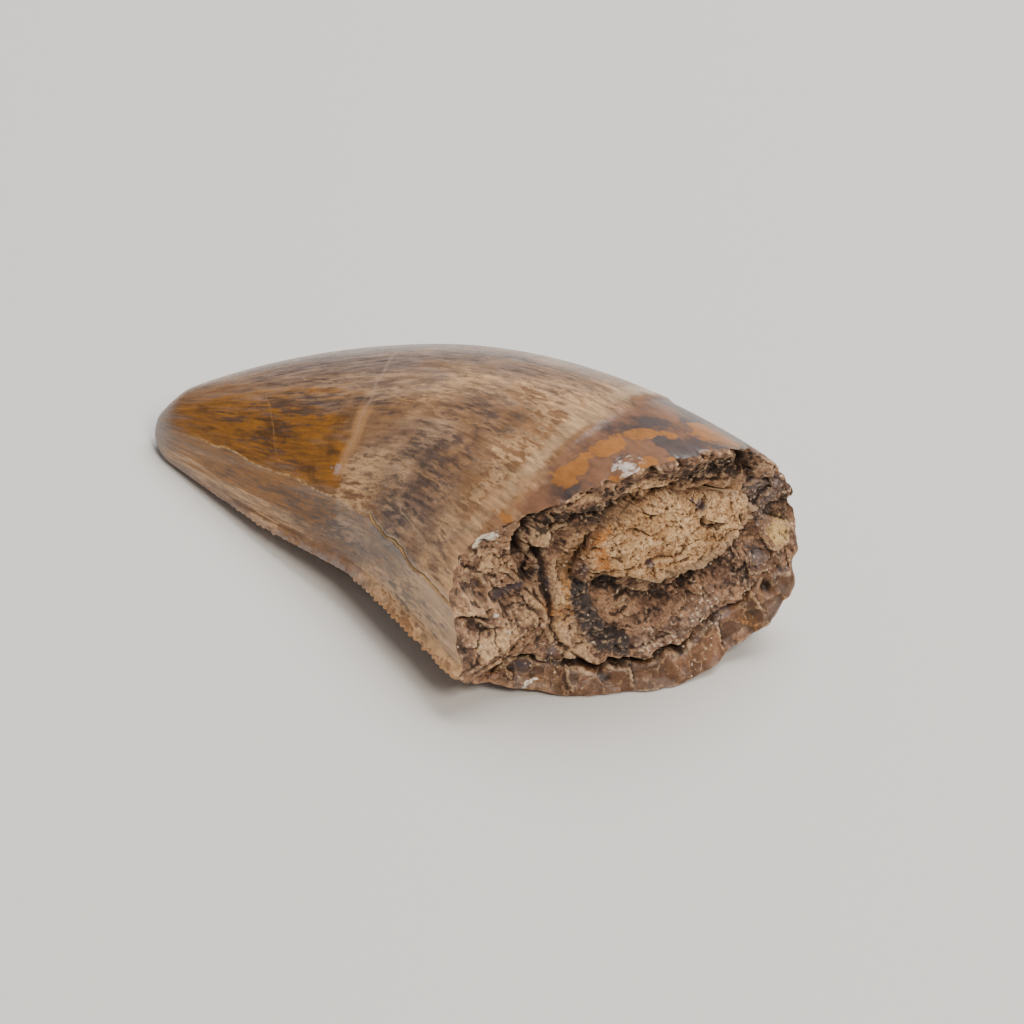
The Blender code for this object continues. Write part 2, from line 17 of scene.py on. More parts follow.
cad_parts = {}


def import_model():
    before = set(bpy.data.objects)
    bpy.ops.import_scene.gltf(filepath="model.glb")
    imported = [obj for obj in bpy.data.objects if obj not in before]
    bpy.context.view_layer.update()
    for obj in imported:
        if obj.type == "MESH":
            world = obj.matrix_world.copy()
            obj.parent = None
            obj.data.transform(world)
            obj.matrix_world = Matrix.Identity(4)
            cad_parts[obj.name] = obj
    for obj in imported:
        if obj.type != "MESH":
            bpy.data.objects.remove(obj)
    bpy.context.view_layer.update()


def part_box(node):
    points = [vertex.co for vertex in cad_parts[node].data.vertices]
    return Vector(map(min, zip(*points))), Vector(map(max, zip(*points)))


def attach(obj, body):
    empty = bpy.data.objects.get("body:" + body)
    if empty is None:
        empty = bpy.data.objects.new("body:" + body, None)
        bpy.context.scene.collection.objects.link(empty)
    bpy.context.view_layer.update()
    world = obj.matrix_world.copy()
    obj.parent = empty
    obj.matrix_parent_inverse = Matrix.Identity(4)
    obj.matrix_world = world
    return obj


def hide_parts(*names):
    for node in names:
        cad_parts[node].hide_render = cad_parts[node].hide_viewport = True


Array = np.ndarray
Path = tuple[tuple[float, float], ...]
Socket = bpy.types.NodeSocket

log = logging.getLogger("tooth")
MM = 0.001
CENTRE_SHIFT = (21.18, -1.69)  # from the base of the crown to the middle of the tooth, mm
BROAD_SEED, FINE_SEED = 11, 29
LATTICE = 32  # cells of noise to a side before it repeats


def ease(low: float | Array, high: float | Array, value: Array) -> Array:
    """A smooth step: 0 before low and 1 past high, which may lie below low."""
    t = np.clip((value - low) / (high - low), 0.0, 1.0)
    return t * t * (3 - 2 * t)


def mound(value: Array, width: float | Array) -> Array:
    """A round hump, 1 where the value is 0."""
    return np.exp(-((value / width) ** 2))


def to_path(y: Array, z: Array, path: Path) -> tuple[Array, Array]:
    """How far points lie from a line.

    Args:
        y: Across, mm.
        z: Up, mm.
        path: Corners of the line, mm.

    Returns:
        The distance in mm, and how far along the line the nearest point is, 0 to 1.
    """
    nearest, along = np.full(y.shape, np.inf), np.zeros(y.shape)
    corners = np.asarray(path)
    runs = np.linalg.norm(np.diff(corners, axis=0), axis=1)
    start = 0.0
    for (y0, z0), (y1, z1), run in zip(corners, corners[1:], runs):
        t = ((y - y0) * (y1 - y0) + (z - z0) * (z1 - z0)) / run**2
        t = t.clip(0, 1)
        gap = np.hypot(y - y0 - t * (y1 - y0), z - z0 - t * (z1 - z0))
        nearer = gap < nearest
        nearest = np.where(nearer, gap, nearest)
        along = np.where(nearer, (start + t * run) / runs.sum(), along)
        start += run
    return nearest, along


class Grit:
    """Repeatable noise, the same on every run."""

    def __init__(self, seed: int) -> None:
        """Draws the noise's lattice."""
        self.table = np.random.default_rng(seed).uniform(-1.0, 1.0, (LATTICE,) * 3)

    def at(self, x: Array, y: Array, z: float | Array = 0.0) -> Array:
        """Smooth noise from -1 to 1; one unit is one cell of the lattice.

        Args:
            x: First axis.
            y: Second axis.
            z: Third axis.

        Returns:
            The noise there.
        """
        axes = np.broadcast_arrays(x, y, z)
        cell = [np.floor(v).astype(int) for v in axes]
        part = [v - c for v, c in zip(axes, cell)]
        soft = [p * p * (3 - 2 * p) for p in part]
        total = np.zeros(axes[0].shape)
        for corner in range(8):
            bits = [(corner >> k) & 1 for k in range(3)]
            weight = np.ones(total.shape)
            for share, bit in zip(soft, bits):
                weight = weight * (share if bit else 1 - share)
            total += weight * self.table[tuple((c + b) % LATTICE for c, b in zip(cell, bits))]
        return total

    def layers(self, x: Array, y: Array, size: float, count: int = 3) -> Array:
        """Noise with finer noise on it.

        Args:
            x: First axis, mm.
            y: Second axis, mm.
            size: The broadest lumps, mm.
            count: How many times it is laid on, each half as broad and half as high.

        Returns:
            Heights of about -1 to 1.
        """
        total = np.zeros(np.broadcast(x, y).shape)
        for k in range(count):
            total += self.at(x / size * 2**k, y / size * 2**k, 3.7 * k) / 2**k
        return total

    def facets(self, x: Array, y: Array, size: float, tilt: float) -> tuple[Array, Array]:
        """Broken facets: a net of cells, each flat at its own height and tilt.

        Args:
            x: First axis, mm.
            y: Second axis, mm.
            size: How broad a cell is, mm.
            tilt: How steeply the cells lean.

        Returns:
            Heights of about -1 to 1, and how close each point is to its cell's edge, 0 to 1.
        """
        u, v = np.broadcast_arrays(x / size, y / size)
        iu, iv = np.floor(u).astype(int), np.floor(v).astype(int)
        nearest, second = np.full(u.shape, 9.0), np.full(u.shape, 9.0)
        height = np.zeros(u.shape)
        for du in (-1, 0, 1):
            for dv in (-1, 0, 1):
                throw = self.table[(iu + du) % LATTICE, (iv + dv) % LATTICE]
                off_u = u - (iu + du + 0.5 + 0.45 * throw[..., 0])
                off_v = v - (iv + dv + 0.5 + 0.45 * throw[..., 1])
                gap = np.hypot(off_u, off_v)
                plane = throw[..., 2] + tilt * (throw[..., 3] * off_u + throw[..., 4] * off_v)
                height = np.where(gap < nearest, plane, height)
                second = np.minimum(second, np.maximum(gap, nearest))
                nearest = np.minimum(nearest, gap)
        return height, 1 - ease(0.0, 0.25, second - nearest)


BROAD, FINE = Grit(BROAD_SEED), Grit(FINE_SEED)
CHART_LENGTH = 50.0  # mm of flank to the whole height of its chart
GRAIN_RADIUS = 8.7  # mm, of the straight cylinder that the streaks run along


@dataclass(frozen=True)
class Spot:
    """An oval mark, mm or degrees, that fades at its edge."""

    across: float
    up: float
    half_across: float
    half_up: float
    weight: float = 1.0
    turned: float = 0.0  # degrees

    def at(self, x: Array, y: Array) -> Array:
        """How strong the mark is at these points.

        Args:
            x: Across in mm, or degrees round.
            y: Up in mm, or mm from the tip.

        Returns:
            The strength, at most its weight.
        """
        c, s = math.cos(math.radians(self.turned)), math.sin(math.radians(self.turned))
        dx, dy = x - self.across, y - self.up
        reach = np.hypot(
            (dx * c + dy * s) / self.half_across, (dy * c - dx * s) / self.half_up
        )
        return self.weight * np.exp(-0.7 * reach**2)


@dataclass(frozen=True)
class Stroke:
    """A groove, a ridge or a band along a line, mm."""

    path: Path
    width: float
    weight: float

    def at(self, x: Array, y: Array) -> Array:
        """How strong it is at these points; it runs out at both ends.

        Args:
            x: Across in mm, or degrees round.
            y: Up in mm, or mm from the tip.

        Returns:
            The strength, at most its weight.
        """
        gap, along = to_path(x, y, self.path)
        ends = ease(0.0, 0.08, along) * ease(1.0, 0.92, along)
        return self.weight * mound(gap, self.width) * (0.35 + 0.65 * ends)


def laid(marks: tuple[Spot | Stroke, ...], x: Array, y: Array) -> Array:
    """All of these marks together, the strongest showing.

    Args:
        marks: The marks.
        x: Across in mm, or degrees round.
        y: Up in mm, or mm from the tip.

    Returns:
        The strength, 0 where there is no mark.
    """
    total = np.zeros(x.shape)
    for mark in marks:
        total = np.maximum(total, mark.at(x, y))
    return total


def summed(marks: tuple[Spot | Stroke, ...], x: Array, y: Array) -> Array:
    """The heights of all of these marks, added up.

    Args:
        marks: The marks.
        x: Across in mm, or degrees round.
        y: Up in mm, or mm from the tip.

    Returns:
        The heights, mm.
    """
    total = np.zeros(x.shape)
    for mark in marks:
        total = total + mark.at(x, y)
    return total


def around(table: dict[int, float], turn: Array) -> Array:
    """Values given every so many degrees, smoothly round the section.

    Args:
        table: A value for every so many degrees, from 0.
        turn: Degrees round.

    Returns:
        The values there.
    """
    keys = sorted(table)
    values = [table[k] for k in keys]
    at = np.asarray(turn, float) / (360 / len(keys))
    i = np.floor(at).astype(int)
    t = at - i
    p = [np.take(values, (i + k) % len(keys)) for k in (-1, 0, 1, 2)]
    return 0.5 * (
        2 * p[1]
        + (p[2] - p[0]) * t
        + (2 * p[0] - 5 * p[1] + 4 * p[2] - p[3]) * t * t
        + (3 * p[1] - p[0] - 3 * p[2] + p[3]) * t**3
    )


@dataclass
class CrownForm:
    """The crown's smooth form: points of it by share of the length and degrees round.

    Shares run from 0 at the base to 1 at the tip. Degrees run 0 mesial edge, 90 upper
    flank, 180 distal carina, 270 lower flank. Points are in mm from the base.
    """

    mesial: Path = ((0.0, 14.0), (-26.0, 14.0), (-37.5, 3.0), (-40.7, -7.9))
    distal: Path = ((0.0, -8.2), (-28.5, -7.8), (-9.5, -7.3), (-40.2, -10.8))
    axis: tuple[float, float, float] = (7.0, 0.45, 1.7)
    flank_up: float = 8.8
    flank_down: float = 6.9
    taper: float = 0.54
    tip_thickness: float = 0.08
    dome_from: float = 0.965
    round_mesial: tuple[float, float] = (0.52, 0.48)
    round_distal_up: tuple[float, float] = (0.58, 0.68)
    round_distal_down: float = 0.72
    carina_drop: tuple[float, float, float] = (-4.4, 0.5, -1.5)
    shoulder: tuple[float, float, float] = (159.0, 151.0, 131.0)
    facet_hollow: float = 0.18
    broken_end: dict[int, float] = field(
        default_factory=lambda: {
            0: 0.065, 36: 0.060, 72: 0.043, 108: 0.068, 144: 0.140,
            180: 0.080, 216: 0.088, 252: 0.043, 288: 0.018, 324: 0.035,
        }
    )
    lost_chip: tuple[float, float, float] = (298.0, 14.0, 0.0125)  # degrees, width, share

    def lost(self, turn: Array) -> Array:
        """Share of the length that is broken off, smoothly round the section.

        Args:
            turn: Degrees round.

        Returns:
            The shares.
        """
        turn = np.asarray(turn) % 360
        at, width, depth = self.lost_chip
        return around(self.broken_end, turn) + depth * np.exp(-(((turn - at) / width) ** 2))

    @staticmethod
    def bezier(controls: Path, s: Array) -> Array:
        """Points of a Bezier curve at these shares.

        Args:
            controls: Its four control points.
            s: Shares of the way along.

        Returns:
            The points.
        """
        p = np.asarray(controls, float)
        s = np.asarray(s, float)[..., None]
        return (
            (1 - s) ** 3 * p[0]
            + 3 * (1 - s) ** 2 * s * p[1]
            + 3 * (1 - s) * s**2 * p[2]
            + s**3 * p[3]
        )

    @staticmethod
    def bowed(base: float, bow: float, tip: float, s: Array) -> Array:
        """A value that runs from base to tip and bows between."""
        return base * (1 - s) + tip * s + bow * 4 * s * (1 - s)

    def oval(self, s: Array, turn: Array) -> Array:
        """Points of the smooth oval section, before the distal facet is cut.

        Args:
            s: Shares of the length.
            turn: Degrees round.

        Returns:
            Places, mm from the base.
        """
        mesial, distal = self.bezier(self.mesial, s), self.bezier(self.distal, s)
        c = np.cos(np.radians(turn))
        up = np.sin(np.radians(turn)) >= 0
        low, high = self.round_distal_up
        power = np.where(
            c >= 0,
            np.where(up, *self.round_mesial),
            np.where(up, low + (high - low) * s, self.round_distal_down),
        )
        taper = self.tip_thickness + (1 - self.tip_thickness) * (1 - s).clip(0) ** self.taper
        past = ((s - self.dome_from) / (1 - self.dome_from)).clip(0, 1)
        dome = np.sqrt(1 - past**2)
        swell = (1 - c * c).clip(0) ** power * taper * dome
        drop = self.bowed(*self.carina_drop, s) * ((1 - c) / 2) ** np.where(up, 2, 4) * dome
        z = self.bowed(*self.axis, s) + drop
        z = z + np.where(up, self.flank_up, -self.flank_down) * swell
        across = (mesial + distal) / 2 + (mesial - distal) / 2 * (c * dome)[..., None]
        return np.concatenate([across, z[..., None]], -1)

    def shoulder_turn(self, s: Array) -> Array:
        """Degrees where the upper flank turns into the flat distal facet."""
        a, b, c = self.shoulder
        return a * (1 - s) ** 2 + 2 * b * s * (1 - s) + c * s * s

    def point(self, s: Array, turn: Array) -> Array:
        """Points of the crown, with the facet between its shoulder and its carina.

        Args:
            s: Shares of the length.
            turn: Degrees round.

        Returns:
            Places, mm from the base.
        """
        s, turn = np.broadcast_arrays(np.asarray(s, float), np.asarray(turn, float))
        place = self.oval(s, turn)
        edge = self.shoulder_turn(s)
        along = ((turn - edge) / (180 - edge)).clip(0, 1)[..., None]
        top, foot = self.oval(s, edge), self.oval(s, np.full_like(s, 180.0))
        facet = top + (foot - top) * along
        inward = np.array([0.25, 1.0, 0.0]) * self.facet_hollow
        facet = facet + inward * 4 * along * (1 - along) * (1 - s)[..., None]
        place = np.where(((turn > edge) & (turn <= 180))[..., None], facet, place)
        place[..., 2] = place[..., 2].clip(0)
        return place

    def outward(self, s: Array, turn: Array) -> Array:
        """Unit normals of the crown, out of it.

        Args:
            s: Shares of the length.
            turn: Degrees round.

        Returns:
            The normals.
        """
        step = 0.4
        along = self.point(np.minimum(s + 0.004, 1), turn) - self.point(s - 0.004, turn)
        across = self.point(s, turn + step) - self.point(s, turn - step)
        normal = np.cross(across, along)
        normal /= np.linalg.norm(normal, axis=-1, keepdims=True).clip(1e-9)
        middle = self.bezier(self.mesial, s) + self.bezier(self.distal, s)
        away = self.point(s, turn)
        away[..., :2] -= middle / 2
        away[..., 2] -= self.bowed(*self.axis, s)
        side = np.sign((normal * away).sum(-1, keepdims=True))
        return normal * np.where(side == 0, 1, side)

    def from_tip(self, s: Array) -> Array:
        """Millimetres along the flank from the tip, about the same all the way round.

        Args:
            s: Shares of the length.

        Returns:
            The distances, mm.
        """
        shares = np.linspace(0, 1, 201)
        turns = np.arange(0, 360, 15.0)
        ring = self.point(shares[:, None], turns[None])
        steps = np.linalg.norm(np.diff(ring, axis=0), axis=2).mean(1)
        run = np.concatenate([[0], np.cumsum(steps)])
        return np.interp(s, shares, run[-1] - run)

    def girth(self, s: Array) -> Array:
        """Millimetres to a degree round the upper flank."""
        across = self.bezier(self.mesial, s) - self.bezier(self.distal, s)
        return np.linalg.norm(across, axis=-1).clip(0.3) * 1.35 / 180


@dataclass
class Carina:
    """The distal cutting edge: a low keel with denticles worn away towards the tip."""

    form: CrownForm
    denticles: int = 54
    keel: float = 0.30
    denticle: float = 0.26
    worn_from: float = 0.93
    half_width: float = 0.42
    rubbed_off: float = 0.8  # share of the denticles lost where the edge was rubbed smooth

    def count_at(self, s: Array) -> Array:
        """How many denticles lie between the broken end and each share of the length.

        Args:
            s: Shares of the length.

        Returns:
            Counts, with the part of a denticle.
        """
        start = self.form.broken_end[180]
        shares = np.linspace(start, 1, 800)
        edge = self.form.bezier(self.form.distal, shares)
        steps = np.linalg.norm(np.diff(edge, axis=0), axis=1)
        run = np.concatenate([[0], np.cumsum(steps)])
        pitch = np.interp(self.worn_from, shares, run) / self.denticles
        return np.interp(s, shares, run, left=-start) / pitch

    def share_at(self, count: Array) -> Array:
        """The share of the length that lies so many denticles from the broken end."""
        shares = np.linspace(self.form.broken_end[180], 1, 2000)
        return np.interp(count, self.count_at(shares), shares)

    def stand(self, s: Array, gap: Array) -> Array:
        """How far the edge stands out.

        Args:
            s: Shares of the length.
            gap: Distance from the edge's line, mm.

        Returns:
            Heights in mm.
        """
        count = self.count_at(s)
        tooth = np.floor(count).astype(int)
        own = 0.8 + 0.2 * BROAD.table[tooth % LATTICE, 5, 9]
        own = own * np.where(BROAD.table[tooth % LATTICE, 7, 3] > 0.86, 0.35, 1.0)
        wave = np.sin(np.pi * (count - tooth)).clip(0) ** 0.55
        wear_and_highlight = ((self.worn_from + 0.03 - s) / 0.16).clip(0, 1)
        run = self.form.from_tip(s)
        wave = wave * (1 - self.rubbed_off * ease(11.0, 13.5, run) * ease(24.5, 21.5, run))
        slope = (1 - gap / self.half_width).clip(0)
        blade = (1 - gap / (self.half_width * 0.62)).clip(0)
        return wear_and_highlight * (self.keel * slope**1.3 + self.denticle * own * wave * blade**0.8)

    def direction(self, s: Array) -> Array:
        """The way the edge stands out of the crown.

        Args:
            s: Shares of the length.

        Returns:
            The directions.
        """
        out = self.form.bezier(self.form.distal, s) - self.form.bezier(self.form.mesial, s)
        out = out / np.linalg.norm(out, axis=-1, keepdims=True)
        return np.concatenate([out, np.full((*out.shape[:-1], 1), -0.35)], -1)


ENAMEL_EDGE = {  # degrees: share of the length where the enamel ends and the root starts
    0: 0.20, 20: 0.20, 40: 0.195, 60: 0.172, 80: 0.146, 100: 0.134, 120: 0.120, 140: 0.128,
    160: 0.06, 180: 0.04, 200: 0.05, 220: 0.12, 240: 0.14, 260: 0.15, 280: 0.155,
    300: 0.165, 320: 0.18, 340: 0.195,
}


@dataclass
class Skin:
    """Low relief of the flank: the enamel's edge, the crack along its shoulder, dents."""

    form: CrownForm
    carina: Carina
    step: float = 0.13
    crack_depth: float = 0.09
    crack_width: float = 0.07

    def root(self, s: Array, turn: Array) -> Array:
        """Millimetres past the edge of the enamel, towards the root.

        Args:
            s: Shares of the length.
            turn: Degrees round.

        Returns:
            The distances, below 0 on the enamel.
        """
        wander = 0.22 * BROAD.at(turn / 9.0, s * 0 + 4.0) + 0.1 * FINE.at(turn / 2.5, s * 0)
        edge = self.form.from_tip(around(ENAMEL_EDGE, turn))
        return self.form.from_tip(s) - edge + wander

    def wander(self, s: Array) -> Array:
        """How far the shoulder crack strays to either side, mm."""
        run = self.form.from_tip(s)
        return 0.22 * BROAD.at(run / 2.6, run * 0 + 2) + 0.10 * FINE.at(run / 0.7, run * 0 + 5)

    def relief(self, s: Array, turn: Array, crack: Array) -> Array:
        """Heights over the smooth form.

        Args:
            s: Shares of the length.
            turn: Degrees round.
            crack: Distance across from the shoulder's crack, mm.

        Returns:
            Heights in mm.
        """
        run = self.form.from_tip(s)
        past = self.root(s, turn)
        height = -self.step * ease(-0.05, 0.35, past) + 0.03 * mound(past + 0.35, 0.35)
        height += 0.035 * BROAD.at(turn / 26.0, run / 5.5) * ease(2.0, 6.0, run)
        open_share = ease(19.0, 24.0, run) * ease(41.5, 39.0, run)
        filled = ease(4.5, 7.0, run) * ease(22.0, 19.0, run)
        beads = 0.35 + 0.65 * ease(-0.2, 0.5, FINE.at(run / 0.33, run * 0 + 8))
        height -= self.crack_depth * open_share * mound(crack, self.crack_width)
        height += 0.03 * open_share * mound(crack - 0.2, 0.12)
        height += 0.04 * filled * beads * mound(crack, self.crack_width)
        ground = ease(0.992, 0.97, s)
        return height * ground


CAVITY_CENTRE = (3.91, 8.5)  # across and up, mm
CAVITY_HALF = (5.3, 3.5)
CAVITY_TILT = math.radians(12.0)
MOUTH = 16.78  # how far out the cavity's mouth lies, mm
RIM_REACH = 18.72  # how far out the rim lies on the whole, mm


def to_cavity(y: Array, z: Array) -> tuple[Array, Array]:
    """Offsets along and across the pulp cavity's oval.

    Args:
        y: Across, mm.
        z: Up, mm.

    Returns:
        Millimetres along the oval, and across it.
    """
    c, s = math.cos(CAVITY_TILT), math.sin(CAVITY_TILT)
    y, z = y - CAVITY_CENTRE[0], z - CAVITY_CENTRE[1]
    return y * c + z * s, z * c - y * s


def from_cavity(p: Array, q: Array) -> tuple[Array, Array]:
    """Places of offsets along and across the cavity's oval."""
    c, s = math.cos(CAVITY_TILT), math.sin(CAVITY_TILT)
    return CAVITY_CENTRE[0] + p * c - q * s, CAVITY_CENTRE[1] + p * s + q * c


CREVICE: Path = ((1.0, 11.6), (-0.3, 11.3), (-1.9, 10.8), (-3.0, 10.0))
GROOVE: Path = (
    (-2.6, 10.3), (-3.1, 9.6), (-3.5, 8.4), (-3.8, 6.7), (-4.0, 5.2), (-4.3, 4.0), (-4.6, 3.2),
)
ROD: Path = ((-4.0, 5.0), (-3.5, 6.4), (-3.0, 7.8), (-2.0, 9.3), (-0.9, 10.2), (0.6, 10.9))
CLEFT: Path = ((-3.6, 11.5), (-4.2, 10.5), (-4.8, 9.2), (-4.7, 7.9))
CHIP_CRACK: Path = (
    (-6.4, 2.4), (-5.3, 2.2), (-3.2, 1.7), (-0.6, 1.5), (0.9, 1.5), (2.3, 1.9), (3.0, 1.8),
    (4.3, 2.5), (6.0, 2.6), (7.7, 3.4), (9.0, 4.4),
)
STEP_EDGE: Path = ((-1.6, 3.3), (0.4, 3.7), (2.2, 3.6), (5.4, 3.7), (7.4, 4.2), (9.2, 5.0))
SHELF: Path = ((-0.3, 5.5), (1.2, 5.0), (2.8, 4.8), (5.9, 5.2), (8.0, 6.2), (9.0, 7.4))
CORE_CRACK: Path = ((-3.9, 5.0), (-3.6, 3.6), (-2.9, 2.4), (-2.2, 1.6))
CHUNK_CRACK: Path = ((6.9, 13.9), (7.7, 12.9), (8.4, 11.6), (8.9, 10.3))

HEIGHTS: tuple[Spot | Stroke, ...] = (
    Stroke(CREVICE, 0.28, -0.8),
    Stroke(GROOVE, 0.17, -0.5),
    Stroke(ROD, 0.26, 0.36),
    Stroke(CLEFT, 0.24, -0.9),
    Stroke(CHIP_CRACK, 0.18, -0.75),
    Stroke(STEP_EDGE, 0.55, 0.35),
    Stroke(SHELF, 0.45, -0.5),
    Stroke(((0.1, 2.3), (2.6, 2.9), (5.1, 3.8), (6.3, 4.3)), 0.5, 0.22),  # sugary ridge
    Stroke(((-9.0, 5.05), (-7.9, 5.15), (-7.1, 5.3)), 0.12, -0.3),
    Spot(2.7, 4.7, 0.4, 0.35, -0.5),
    Spot(4.3, 4.9, 0.35, 0.3, -0.5),
    Spot(5.4, 5.5, 0.9, 0.3, -0.55, 10),
    Spot(8.2, 5.0, 0.5, 0.35, -0.5),
    Spot(1.7, 3.95, 0.9, 0.28, -0.4, 15),
    Spot(-0.4, 3.3, 0.9, 0.28, -0.4, 15),
    Spot(9.4, 3.7, 0.25, 0.35, -0.6),
    Spot(-3.9, 8.2, 0.3, 0.35, -0.7),
    Spot(-4.3, 7.0, 0.3, 0.35, -0.7),
    Spot(-7.6, 7.8, 0.25, 0.3, -0.5),
    Spot(-8.0, 4.65, 0.55, 0.35, -0.5),
    Stroke(CORE_CRACK, 0.16, -0.4),
    Stroke(CHUNK_CRACK, 0.24, -0.7),
    Spot(-0.5, 6.1, 0.75, 0.65, -0.9),  # hollow at the cavity's end
    Spot(-1.7, 5.4, 0.8, 1.9, -0.3, 12),
    Spot(10.6, 6.4, 0.75, 0.65, 0.3),
    Spot(10.0, 11.3, 1.2, 0.9, 0.3),
    Spot(-7.4, 4.0, 1.4, 0.4, 0.3, 25),
)


@dataclass(frozen=True)
class Plate:
    """A flat face among the splinters, mm: its middle, halves, turn, level and slopes."""

    across: float
    up: float
    half_across: float
    half_up: float
    turned: float
    level: float
    lean: float = 0.0
    rise: float = 0.0

    def cut(self, height: Array, y: Array, z: Array) -> Array:
        """Heights with this face let into them.

        Args:
            height: Heights without it, mm.
            y: Across, mm.
            z: Up, mm.

        Returns:
            The heights with it, mm.
        """
        c, s = math.cos(math.radians(self.turned)), math.sin(math.radians(self.turned))
        dy, dz = y - self.across, z - self.up
        along, over = (dy * c + dz * s) / self.half_across, (dz * c - dy * s) / self.half_up
        reach = (np.abs(along) ** 3 + np.abs(over) ** 3) ** (1 / 3)
        share = ease(1.08, 0.92, reach)
        return height * (1 - share) + share * (self.level + self.lean * along + self.rise * over)


PLATES: tuple[Plate, ...] = (
    Plate(-7.1, 6.4, 0.75, 0.75, 20, 0.08, 0.12, -0.1),
    Plate(-5.6, 6.25, 1.15, 0.4, 12, -0.28, 0.0, 0.12),
    Plate(-4.75, 5.65, 0.32, 0.62, 10, 0.2, 0.14),
    Plate(-5.4, 5.1, 0.5, 0.42, -20, 0.16, 0.1, 0.15),
    Plate(-3.7, 9.5, 0.42, 0.8, -12, 0.42, 0.1, -0.1),
    Plate(-2.9, 10.1, 0.28, 0.5, -25, 0.3, -0.1, 0.1),
    Plate(0.3, 4.5, 0.8, 0.3, 30, -0.12, 0.1, 0.2),
    Plate(-5.5, 1.7, 0.75, 0.42, 5, -0.3, 0.05, 0.1),
    Plate(-3.9, 2.3, 0.75, 0.6, -20, -0.12, -0.15, 0.1),
    Plate(-8.1, 5.45, 0.95, 0.22, 3, 0.25, 0.05),
    Plate(-6.2, 7.7, 0.5, 0.35, 40, 0.2, -0.15),
    Plate(9.2, 5.3, 0.7, 0.6, -10, -0.15, 0.2, -0.1),
    Plate(-7.2, 2.6, 0.9, 0.35, 28, 0.1, 0.0, 0.15),
    Plate(9.5, 9.6, 0.9, 0.5, -40, -0.1, -0.2, 0.15),
)


@dataclass(frozen=True)
class Chip:
    """The scar of a flake off the lower rim: a shallow bowl that leans to one side, mm."""

    across: float
    up: float
    radius: float
    level: float
    lean: float = 0.0


CHIPS: tuple[Chip, ...] = (
    Chip(-7.8, 1.9, 1.1, -0.05, 0.15),
    Chip(-5.0, 1.4, 1.6, -0.1, 0.15),
    Chip(-1.9, 0.7, 1.5, 0.14, -0.15),
    Chip(1.3, 0.7, 1.4, -0.1, 0.2),
    Chip(4.2, 1.3, 1.6, 0.08, -0.12),
    Chip(7.2, 2.4, 1.4, -0.1, 0.18),
    Chip(9.4, 3.9, 1.3, 0.05, 0.12),
)

